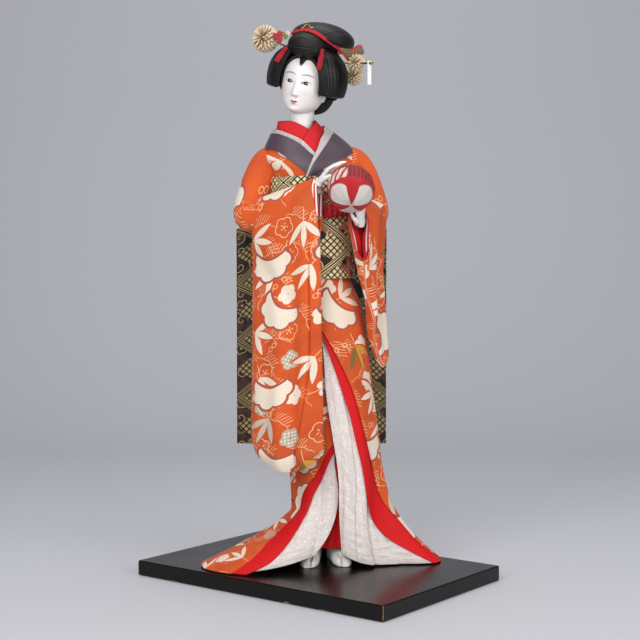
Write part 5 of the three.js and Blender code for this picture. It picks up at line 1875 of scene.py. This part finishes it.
@dataclass(frozen=True)
class Foot:
    """A split-toe sock on the board, its ankle over the given point."""

    side: Side
    ankle: tuple[float, float]
    turn: float

    def build(self) -> None:
        """Makes and dresses the foot."""
        half = through((0, 0.5), (0.12, 0.8), (0.45, 0.86), (0.75, 1), (0.92, 0.8), (1, 0.4))
        high = through((0, 0.55), (0.12, 0.9), (0.3, 1), (0.5, 0.76), (0.78, 0.44), (0.94, 0.34), (1, 0.18))
        split = -self.side.value * 19 * 0.14

        def surface(u: Array, v: Array) -> Array:
            """Points at shares u round the sock and v from heel to toe."""
            angle = u * TAU
            x = 9.5 * half(v) * np.sin(angle)
            tall = 24 * high(v)
            z = 0.4 + np.maximum(0, tall * (0.35 - 0.65 * np.cos(angle)))
            groove = np.exp(-(((x - split) / 0.9) ** 2)) * np.clip((v - 0.72) / 0.1, 0, 1)
            y = 13 - 52 * v + groove * 3.5 * np.clip((v - 0.9) / 0.1, 0, 1)
            return np.stack([x, y, 0.4 + (z - 0.4) * (1 - 0.6 * groove)], -1)

        place = FIGURE.inner(turned(2, self.turn), (*self.ankle, 0))
        sock = grid("sock", (72, 60), surface, place, rolled_out(50, 52))
        edit_all(sock, fill)
        shin = tube("shin", path_through([(0, 0, 9), (0, 0, 26)]), steady(7.5), (40, 10), place)
        node = self.side.named("foot")
        foot = joined("shown_" + node, [sock, shin])
        smooth(foot, 50)
        dressed(foot, TABI, Body.STAND, "tabi", node)


def thread_ball() -> None:
    """The ball, its pole toward the viewer, with the thread panels' grooves."""
    place = FIGURE.inner(turned(0, BALL_TILT), BALL_MIDDLE)

    def surface(u: Array, v: Array) -> Array:
        """Points at shares u round the pole and v down from it."""
        angle, down = u * TAU, v * math.pi
        reach = BALL_RADIUS - 0.4 + 0.25 * np.cos(angle * 12) * np.sin(down)
        flat = reach * np.sin(down)
        return np.stack([flat * np.cos(angle), flat * np.sin(angle), reach * np.cos(down)], -1)

    piece = grid("shown_thread_ball", (160, 90), surface, place, rolled_out(TAU, math.pi))
    edit_all(piece, weld)
    smooth(piece)
    dressed(piece, BALL, Body.STAND, "ball_thread", "thread_ball")


# Head and hair

FACE_WIDE = through((-1, 0.26), (-0.9, 0.56), (-0.7, 0.83), (-0.35, 1), (0.1, 1.03), (0.5, 0.98),
                    (0.8, 0.74), (1, 0.2))
FACE_FRONT = through((-1, 0.62), (-0.9, 0.84), (-0.7, 0.93), (-0.35, 0.97), (0.1, 0.97), (0.5, 0.9),
                     (0.8, 0.62), (1, 0.12))
FACE_BACK = through((-1, -0.3), (-0.8, 0), (-0.5, 0.5), (-0.1, 0.86), (0.3, 1), (0.6, 0.92), (0.85, 0.6),
                    (1, 0.15))
HAIR_BOTTOM = -8.5
HAIR_TOP = 38.0
HAIR_WIDE = through((HAIR_BOTTOM, 40), (2, 41.5), (14, 40.5), (24, 36), (32, 28.5), (HAIR_TOP, 20))
HAIR_DEEP = through((HAIR_BOTTOM, 29), (10, 31), (24, 28), (32, 21), (HAIR_TOP, 14))
WING_FRONT = through((HAIR_BOTTOM, 36), (5, 33), (18, 28.5), (HAIR_TOP, 26))
WING_BACK = steady(128)
TOPKNOT_MIDDLE = (3.0, 20.0, 45.5)
TOPKNOT_HALF = (31.5, 31.0, 15.5)


def bump_at(x: Array, z: Array, middle: tuple[float, float], size: tuple[float, float]) -> Array:
    """A soft round bump of height one."""
    return np.exp(-(((x - middle[0]) / size[0]) ** 2) - ((z - middle[1]) / size[1]) ** 2)


def relief(x: Array, z: Array) -> Array:
    """How far the face stands forward of its plain form.

    Args:
        x: sideways from the head's middle.
        z: up from it.
    Returns:
        Distances in millimetres.
    """
    out = np.abs(x)
    nose = np.clip((4.5 - z) / 15, 0, 1) * np.clip((z + 14.1) / 2.4, 0, 1)
    bridge = 4.4 * nose * np.exp(-((x / (1.7 + 1.2 * nose)) ** 2))
    wings = 0.9 * bump_at(out, z, (2.5, -11.8), (1.3, 1.5))
    hollow = 1.0 * bump_at(out, z, (EYE_OUT, EYE_UP), (5.4, 3.8))
    lid_long = (out - EYE_OUT) / EYE_HALF_LONG
    lid_high = (z - EYE_UP - (out - EYE_OUT) * 0.1) / EYE_HALF_HIGH
    opening = np.clip((1 - lid_long ** 2 - np.abs(lid_high) ** 1.6) * 3, 0, 1)
    lids = 0.45 * bump_at(out, z, (EYE_OUT, EYE_UP + 2.0), (4.2, 1.3))
    lids = lids + 0.25 * bump_at(out, z, (EYE_OUT, EYE_UP - 2.0), (4.0, 1.0))
    upper = 0.75 * bump_at(out, z, (1.4, MOUTH_UP + 1.2), (2.0, 1.1))
    lower = 0.95 * bump_at(x, z, (0, MOUTH_UP - 1.3), (2.4, 1.3))
    line = 0.45 * bump_at(x, z, (0, MOUTH_UP), (3.2, 0.4))
    philtrum = 0.3 * bump_at(x, z, (0, -15.0), (0.8, 1.6))
    cheeks = 0.7 * bump_at(out, z, (11.5, -10.5), (6, 8))
    chin = 1.1 * bump_at(x, z, (0, -26.5), (6, 3.6)) - 0.5 * bump_at(x, z, (0, -22.8), (5, 1.6))
    return bridge + wings - hollow - 1.6 * opening + lids + upper + lower - line - philtrum + cheeks + chin


def head_form(angle: Array, level: Array, out: float) -> Array:
    """Points of the head, or of a larger copy of it.

    Args:
        angle: radians from the front.
        level: height as a share of half the head's height.
        out: distance outside the head.
    Returns:
        Points in the head's frame.
    """
    front = np.cos(angle) > 0
    reach = HEAD_HALF_DEEP * np.where(front, FACE_FRONT(level), FACE_BACK(level)) + out
    x = (HEAD_HALF_WIDE * FACE_WIDE(level) + out) * np.sign(np.sin(angle)) * np.abs(np.sin(angle)) ** 0.9
    z = level * (HEAD_HALF_HIGH + out)
    forward = np.where(front, relief(x, z) * np.cos(angle), 0) if out == 0 else 0
    return np.stack([x, -reach * np.sign(np.cos(angle)) * np.abs(np.cos(angle)) ** 0.9 - forward, z], -1)


@dataclass(frozen=True)
class HeadAndNeck:
    """The carved head with its neck, ears and inset glass eyes."""

    neck_radius: float = 12.5
    neck_bottom: float = 410.4

    def build(self) -> None:
        """Makes all the pieces."""
        def surface(u: Array, v: Array) -> Array:
            """Points at shares u round the head and v up it."""
            way = u * TAU
            level = -np.cos(v * math.pi) * 0.35 + (2 * v - 1) * 0.65
            return head_form(way - 0.6 * np.sin(way), level, 0)

        skull = grid("skull", (300, 220), surface, HEAD)
        edit_all(skull, fill)
        ears = [self.ear(side) for side in Side]
        for tool in (*ears, self.neck()):
            applied(skull, "BOOLEAN", object=tool, operation="UNION", solver="EXACT")
            bpy.data.objects.remove(tool)
        skull.name = skull.data.name = "shown_head"
        self.map_face(skull)
        smooth(skull)
        dressed(skull, FACE, Body.HEAD, "skin", "head")
        for side in Side:
            self.eye(side)

    def map_face(self, head: Piece) -> None:
        """UV of the head: x and z from its middle, with the back moved off the painted part.

        Args:
            head: object whose UV map is set.
        """
        local = (points_of(head) / MM - HEAD.middle) @ HEAD.turn
        behind = np.where(local[:, 1] > 2, 200.0, 0.0)
        lay_out(head, np.stack([local[:, 0] + behind, local[:, 2]], -1))

    def ear(self, side: Side) -> Piece:
        """A small flat ear."""
        return ellipsoid("ear", (side.value * (HEAD_HALF_WIDE - 0.8), 3, -9), (2.2, 4, 6.5), HEAD)

    def neck(self) -> Piece:
        """The neck, upright in the figure's frame."""
        width = through((0, 0.84), (0.3, 0.98), (0.55, 0.95), (0.8, 1), (1, 0.88))
        path = path_through([(*NECK_AXIS, self.neck_bottom), (*NECK_AXIS, HEAD_MIDDLE[2] - 15.9)])
        return tube("neck", path, lambda share: self.neck_radius * width(share), (64, 30), FIGURE)

    def eye(self, side: Side) -> None:
        """One glass eye behind its lids.

        Args:
            side: which eye.
        """
        place = (side.value * EYE_OUT, -18.6, EYE_UP)
        node = side.named("eye")
        piece = ellipsoid("shown_" + node, place, (4.5, 2.6, 2.6), HEAD, 2, (40, 24))
        local = (points_of(piece) / MM - HEAD.middle) @ HEAD.turn - np.array(place)
        behind = np.where(local[:, 1] > 0, 50.0, 0.0)
        lay_out(piece, np.stack([local[:, 0] + behind, local[:, 2] - 0.15], -1))
        dressed(piece, GLASS, Body.HEAD, "eye_glass", node)


@dataclass(frozen=True)
class Hairdress:
    """The dressed hair: cap, front roll, side wings, back, nape bag and topknot."""

    wing_thick: float = 8.0

    def build(self) -> None:
        """Makes all the pieces."""
        self.cap()
        self.front()
        self.knot()
        self.wing(Side.RIGHT)
        self.wing(Side.LEFT)
        self.back()
        self.nape()

    def cap(self) -> None:
        """Hair drawn up from the hairline over the head."""
        line = through((0, 16.4), (4, 18.6), (9, 22.6), (30, 21.5), (48, 14), (58, 4), (66, -10), (74, -4),
                       (90, -6), (150, -12), (180, -13))

        def surface(u: Array, v: Array) -> Array:
            """Points at shares u round the head and v up from the hairline."""
            angle = mixed(-180.0, 180.0, u)
            level = mixed(line(np.abs(angle)) / HEAD_HALF_HIGH, 1.0, v)
            thick = 0.3 + 2.4 * np.clip(v * 7, 0, 1) ** 0.6
            turn = np.radians(angle)
            points = head_form(turn, level, 0.001)
            return points + unit(points * np.array([1, 1, 0.6])) * thick[:, None]

        piece = grid("shown_wig_cap", (220, 60), surface, HEAD, rolled_out(150, 40))
        edit_all(piece, weld)
        smooth(piece)
        dressed(piece, HAIR, Body.HEAD, "hair", "wig_cap")

    def front(self) -> None:
        """The roll above the forehead, its strands running up and back."""
        piece = ellipsoid("shown_front_hair", (-1.5, -9, 36), (19.5, 15, 14), HEAD, 0, (120, 90))
        dressed(piece, HAIR, Body.HEAD, "hair", "front_hair")

    def knot(self) -> None:
        """The topknot, its strands running to the back."""
        piece = ellipsoid("shown_topknot", TOPKNOT_MIDDLE, TOPKNOT_HALF, HEAD, 1, (160, 100))
        dressed(piece, HAIR, Body.HEAD, "hair", "topknot")

    def shell(self, name: str, start: Curve, end: Curve, bottom: float, mirror: int) -> Piece:
        """A thick curved wing of hair with rounded edges.

        Args:
            name: object name.
            start: angle of its front edge by height.
            end: angle of its back edge by height.
            bottom: lowest height.
            mirror: sign of x.
        Returns:
            The wing.
        """
        def surface(u: Array, v: Array) -> Array:
            """Points at shares u round the section and v up the wing."""
            around = u * TAU
            across = np.sign(np.cos(around)) * np.abs(np.cos(around)) ** 0.4
            deep = np.sign(np.sin(around)) * np.abs(np.sin(around)) ** 0.6
            end_round = np.sqrt(np.clip(v / 0.04, 0, 1)) * np.sqrt(np.clip((1 - v) / 0.06, 0.02, 1))
            height = mixed(bottom, HAIR_TOP, v)
            first, last = start(height), end(height)
            angle = np.radians((first + last) / 2 + (last - first) / 2 * across * (0.9 + 0.1 * end_round))
            thick = self.wing_thick * (1 - 0.4 * v) * (0.1 + 0.9 * end_round)
            inward = self.wing_thick * (1 - 0.4 * v) / 2 - thick / 2 * deep
            x = mirror * (HAIR_WIDE(height) - inward) * np.sin(angle)
            return np.stack([x, 3 - (HAIR_DEEP(height) - inward) * np.cos(angle), height], -1)

        piece = grid(name, (160, 70), surface, HEAD, rolled_out(130, 48))
        edit_all(piece, fill)
        smooth(piece, 70)
        return piece

    def wing(self, side: Side) -> None:
        """The hair that stands out over one side.

        Args:
            side: which side.
        """
        node = side.named("side_hair")
        piece = self.shell("shown_" + node, WING_FRONT, WING_BACK, HAIR_BOTTOM, side.value)
        dressed(piece, HAIR, Body.HEAD, "hair", node)

    def back(self) -> None:
        """The hair down the back of the head."""
        piece = self.shell("shown_back_hair", steady(131), steady(229), HAIR_BOTTOM - 4, 1)
        dressed(piece, HAIR, Body.HEAD, "hair", "back_hair")

    def nape(self) -> None:
        """The drooping bag of hair at the nape."""
        path = path_through([(0, 24, 2), (0, 33, -8), (1, 30, -20), (2, 20, -28.5)])
        wide = through((0, 13), (0.4, 20), (0.75, 16), (0.95, 8), (1, 2))
        piece = tube("shown_nape_hair", path, wide, (90, 60), HEAD, 0.52)
        dressed(piece, HAIR, Body.HEAD, "hair", "nape_hair")


# Hair ornaments

RIBBON_CLOTH = 0.7
PETAL_THICK = 0.25
GOLDEN_ANGLE = math.pi * (3 - math.sqrt(5))


@dataclass(frozen=True)
class Pompon:
    """A chrysanthemum of narrow crimped petals round a core."""

    node: str
    body: Body
    middle: Point
    radius: float
    petals: int
    facing: Point = (-0.3, -0.92, 0.25)

    def build(self) -> None:
        """Makes one petal, and copies it all round."""
        steps, across = 7, 3
        index = np.arange(self.petals)
        height = 1 - 2 * (index + 0.5) / self.petals
        turn = index * GOLDEN_ANGLE
        flat = np.sqrt(1 - height ** 2)
        way = np.stack([flat * np.cos(turn), flat * np.sin(turn), height], -1)
        facing = unit(np.array(self.facing))
        stray = np.stack([np.cos(index * 2.4), np.sin(index * 1.7), np.cos(index)], -1)
        edge = unit(np.cross(way, facing + 0.2 * stray))
        curl = np.cross(edge, way)
        share = np.linspace(0, 1, steps)
        reach = self.radius * (0.3 + 0.66 * share)
        bend = self.radius * -0.42 * share ** 2
        half = self.radius * 0.14 * (0.5 + 0.5 * share) * np.sqrt(np.clip(1 - share ** 4, 0.03, 1))
        points = np.empty((self.petals, steps, across, 3))
        for place, sense in enumerate((-1.0, 0.0, 1.0)):
            cup = -0.35 * half * (1 - abs(sense))
            outward = way[:, None] * reach[None, :, None] + curl[:, None] * (bend + cup)[None, :, None]
            points[:, :, place] = outward + edge[:, None] * (sense * half)[None, :, None]
        count = steps * across
        faces = []
        for petal in range(self.petals):
            for row in range(steps - 1):
                for column in range(across - 1):
                    a = petal * count + row * across + column
                    faces.append((a, a + 1, a + across + 1, a + across))
        mesh = bpy.data.meshes.new("shown_" + self.node)
        mesh.from_pydata(HEAD.metres(points.reshape(-1, 3) + np.array(self.middle)).tolist(), [], faces)
        piece = bpy.data.objects.new(mesh.name, mesh)
        bpy.context.collection.objects.link(piece)
        along = np.broadcast_to(share[None, :, None], (self.petals, steps, across)).reshape(-1)
        lay_out(piece, np.stack([np.zeros_like(along), along], -1))
        applied(piece, "SOLIDIFY", thickness=PETAL_THICK * MM, offset=0.0)
        core = ellipsoid("core", self.middle, (self.radius * 0.5,) * 3, HEAD, 2, (20, 12))
        lay_out(core, np.zeros((len(core.data.vertices), 2)))
        piece = joined("shown_" + self.node, [piece, core])
        smooth(piece)
        dressed(piece, FLOWER, self.body, "petals", self.node)


@dataclass(frozen=True)
class Tassel:
    """A flat tassel of silk strands hanging from its knot."""

    node: str
    body: Body
    knot: Point
    foot: Point
    strands: int = 22

    def build(self) -> None:
        """Makes the knot and the strands."""
        knot, foot = np.array(self.knot), np.array(self.foot)
        side = unit(np.cross(np.array([0.0, -1.0, 0.0]), foot - knot))
        middle = tuple(knot + np.array([0, -0.8, -0.6]))
        pieces = [ellipsoid("knot", middle, (1.9, 1.0, 1.3), HEAD, 2, (20, 12))]
        for index in range(self.strands):
            place = (index + 0.5) / self.strands - 0.5
            layer = -0.45 - 0.7 * (index % 2)
            sway = 0.35 * math.sin(index * 2.7)
            points = [tuple(mixed(knot, foot, share * (1 - 0.03 * (index % 3)))
                            + side * (place * 5.3 * (0.5 + 0.5 * min(1, share * 1.7)) + sway * share)
                            + np.array([0, layer + 0.15 * math.sin(index + share * 3), 0]))
                      for share in np.linspace(0, 1, 5)]
            pieces.append(tube("strand", path_through(points), through((0, 0.24), (1, 0.22)), (6, 14),
                               HEAD))
        piece = joined("shown_" + self.node, pieces)
        smooth(piece)
        dressed(piece, TASSEL, self.body, "red_cloth", self.node)


@dataclass(frozen=True)
class Ornaments:
    """Ribbons, cord, flowers, buds, tassels and pins in the hair."""

    def build(self) -> None:
        """Makes all the pieces."""
        self.band()
        self.loop()
        places = [(-16, -6.5), (-12, -6), (-9, -1), (-6, -2), (-3, -6), (1, -6)]
        path = path_through([self.over_topknot(*place) for place in places])
        cord = tube("shown_gold_cord", path, steady(0.65), (10, 90), HEAD)
        dressed(cord, GILT, Body.HEAD, "gilt", "gold_cord")
        Pompon("right_flower", Body.RIGHT_PIN, (-46.5, -8, 35.5), 13.2, 190).build()
        Pompon("left_upper_flower", Body.LEFT_PIN, (40.8, 22, 27.7), 9.0, 110).build()
        Pompon("left_lower_flower", Body.LEFT_PIN, (40.8, 24, 14.7), 9.0, 110).build()
        self.buds()
        Tassel("right_tassel", Body.RIGHT_TASSEL, (-18.4, -20, 31), (-24.5, -24, 16)).build()
        Tassel("left_tassel", Body.LEFT_TASSEL, (18.5, -18, 35.4), (20.7, -24.5, 15.7)).build()

    def over_topknot(self, x: float, y: float) -> Point:
        """Point just over the topknot, above (x, y)."""
        wide, deep = (x - TOPKNOT_MIDDLE[0]) / TOPKNOT_HALF[0], (y - TOPKNOT_MIDDLE[1]) / TOPKNOT_HALF[1]
        rise = math.sqrt(max(0.0, 1 - (wide ** 2 + deep ** 2)))
        return x, y - 0.4, TOPKNOT_MIDDLE[2] + TOPKNOT_HALF[2] * rise + 0.4

    def band(self) -> None:
        """Red band between the front roll and the topknot."""
        path = path_through([(-22, -7.5, 42.5), (-17, -10, 46.2), (-5.6, -12, 50), (4, -12.3, 49.6),
                             (13.7, -10, 46), (24, -1.5, 40.3), (29, 6, 37)])

        def surface(u: Array, v: Array) -> Array:
            """Points at shares u along the band and v across it."""
            middle = path(u)
            along = heading(path, u)
            outward = unit(middle - np.array([0, 0, 28]))
            across = unit(np.cross(along, outward))
            lift = 0.65 + 0.4 * np.cos(v * TAU) + 0.12 * np.cos(u * 90)
            return middle + across * ((v - 0.5) * 5.0)[:, None] + outward * lift[:, None]

        piece = grid("shown_ribbon_band", (120, 12), surface, HEAD, rolled_along(5, 75))
        cloth_of(piece, LINING_CLOTH)
        dressed(piece, RIBBON, Body.HEAD, "red_cloth", "ribbon_band")

    def loop(self) -> None:
        """Wavy ribbon end lying back along the topknot."""
        def surface(u: Array, v: Array) -> Array:
            """Points at shares u along the ribbon and v across it."""
            swell = np.sqrt(np.maximum(0.04, np.sin(u * math.pi)))
            wave = 2.5 * np.sin(u * 1.5 * TAU)
            x = 27 + 11.6 * u + 2 * swell * np.cos((v - 0.5) * math.pi)
            return np.stack([x, 2 + 44 * u, 36 + 3 * u + (v - 0.5) * 14 * swell + wave], -1)

        piece = grid("shown_ribbon_loop", (80, 24), surface, HEAD, rolled_along(13, 42))
        cloth_of(piece, RIBBON_CLOTH)
        dressed(piece, LOOP, Body.HEAD, "red_cloth", "ribbon_loop")

    def buds(self) -> None:
        """Cluster of pinched silk buds beside the right flower, with green and pale ones toward the hair."""
        places = [(-33.5, -14, 39.5), (-28.5, -16, 42.5), (-28, -16.5, 37.5)]
        pieces = []
        for place in places:
            pieces += [self.bud(place, way, 0, 1.75) for way in range(7)]
        pieces += [self.bud((-23.5, -15.5, 41.8), way, 1, 1.7) for way in range(5)]
        pieces += [self.bud((-20.4, -15, 44.6), way, 2, 1.4) for way in range(5)]
        piece = joined("shown_right_buds", pieces)
        smooth(piece)
        dressed(piece, BUDS, Body.RIGHT_PIN, "red_cloth", "right_buds")

    def bud(self, middle: Point, way: int, kind: int, size: float) -> Piece:
        """One pinched bud of a cluster; its kind picks its colour.

        Args:
            middle: middle of the cluster.
            way: number of the bud in it.
            kind: 0 red, 1 green, 2 pink.
            size: half its width.
        Returns:
            The bud.
        """
        turn, rise = way * 2.4, math.sin(way * 1.7)
        shift = np.array([math.cos(turn), -0.4 + 0.6 * math.sin(turn * 1.3), rise]) * size * 0.95
        half = (size, size * 0.8, size * 1.15)
        piece = ellipsoid("bud", tuple(np.array(middle) + shift), half, HEAD, way % 3, (16, 12))
        local = points_of(piece) / MM
        lay_out(piece, np.stack([np.full(len(local), float(kind)), local[:, 2] / 8], -1))
        return piece


# What is seen as it was built

BARE_NODES: dict[str, Finish] = {
    "base_board": LACQUER,
    "right_leg_wire": WIRE,
    "left_leg_wire": WIRE,
    "right_leg": STRAW,
    "left_leg": STRAW,
    "lower_core": STRAW,
    "chest_core": STRAW,
    "right_arm": PAPER,
    "left_arm": PAPER,
    "neck_peg": WOOD,
    "right_pin": GILT,
    "left_pin": GILT,
    "silver_strip": SILVER_HIGHLIGHT,
}


def finish_bare_nodes() -> None:
    """Gives each piece that is shown as it was built its finish."""
    for node, finish in BARE_NODES.items():
        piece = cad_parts[node]
        piece.data.materials.clear()
        piece.data.materials.append(finish.material())


# Studio

LAMP_AIM = 0.28


@dataclass(frozen=True)
class Studio:
    """Pale floor and backdrop, soft lights and the camera."""

    camera: Point = (0.8441, -1.0955, 0.3231)
    turn: float = 37.5
    tilt: float = 2.72
    lens: float = 78.75

    def build(self) -> None:
        """Sets the stage."""
        scene = bpy.context.scene
        scene.view_settings.view_transform = "Standard"
        self.backdrop()
        self.lamp("key", (0.45, -1.6, 1.0), 1.3, 25.0)
        self.lamp("fill", (1.6, -0.3, 0.7), 1.2, 14.0)
        self.lamp("top", (0.0, 0.1, 1.8), 1.3, 14.0)
        world = bpy.data.worlds.new("studio")
        world.use_nodes = True
        world.node_tree.nodes["Background"].inputs["Color"].default_value = linear("#c9cbd2")
        world.node_tree.nodes["Background"].inputs["Strength"].default_value = 0.32
        scene.world = world
        lens = bpy.data.cameras.new("camera")
        lens.lens = self.lens
        lens.sensor_width = 36.0
        camera = bpy.data.objects.new("camera", lens)
        camera.location = self.camera
        camera.rotation_euler = (math.radians(90 - self.tilt), 0, math.radians(self.turn))
        scene.collection.objects.link(camera)
        scene.camera = camera

    def backdrop(self) -> None:
        """A floor that sweeps up into a wall behind the doll."""
        def surface(u: Array, v: Array) -> Array:
            """Points at shares u across the paper and v away along it."""
            bend = np.clip((v - 0.55) / 0.25, 0, 1) * (math.pi / 2)
            away = mixed(-2200.0, 900.0, np.minimum(1, v / 0.55)) + 700 * np.sin(bend)
            up = 700 * (1 - np.cos(bend)) + 2200 * np.clip((v - 0.8) / 0.2, 0, 1)
            return np.stack([(u - 0.5) * 7000, away, up - BOARD_THICK - 0.3], -1)

        piece = grid("sweep", (20, 80), surface, FIGURE)
        smooth(piece)
        shader = Shader("studio paper", Roughness=0.9)
        shader.surface.inputs["Base Color"].default_value = linear("#c2c3c8")
        piece.data.materials.append(shader.material)

    def lamp(self, name: str, place: Point, size: float, power: float) -> None:
        """A square soft light that faces the doll.

        Args:
            name: object name.
            place: where it stands, in metres.
            size: its side in metres.
            power: in watts.
        """
        light = bpy.data.lights.new(name, "AREA")
        light.size = size
        light.energy = power
        lamp = bpy.data.objects.new(name, light)
        away = np.array(place) - np.array([0, 0, LAMP_AIM])
        flat = math.hypot(away[0], away[1])
        lamp.location = place
        lamp.rotation_euler = (math.atan2(flat, away[2]), 0, math.atan2(away[0], -away[1]))
        bpy.context.scene.collection.objects.link(lamp)


def main() -> None:
    """Builds the doll and the studio."""
    logging.basicConfig(level=logging.INFO, format="%(message)s")
    Skirts().build()
    UpperDress().build()
    for sleeve in (RIGHT_SLEEVE, LEFT_SLEEVE):
        sleeve.build()
    Hand(Side.RIGHT, (3, -60, 376), (0.55, -0.22, 0.8), RIGHT_SLEEVE.elbow, 1.1, -1).build()
    Hand(Side.LEFT, (42, -50, 338), (-0.05, -0.62, 0.78), LEFT_SLEEVE.elbow, 0.7, 1).build()
    Foot(Side.RIGHT, (-4, 3), -8).build()
    Foot(Side.LEFT, (18, 8), 14).build()
    thread_ball()
    HeadAndNeck().build()
    Hairdress().build()
    Ornaments().build()
    finish_bare_nodes()
    Studio().build()


if __name__ == "__main__":
    main()
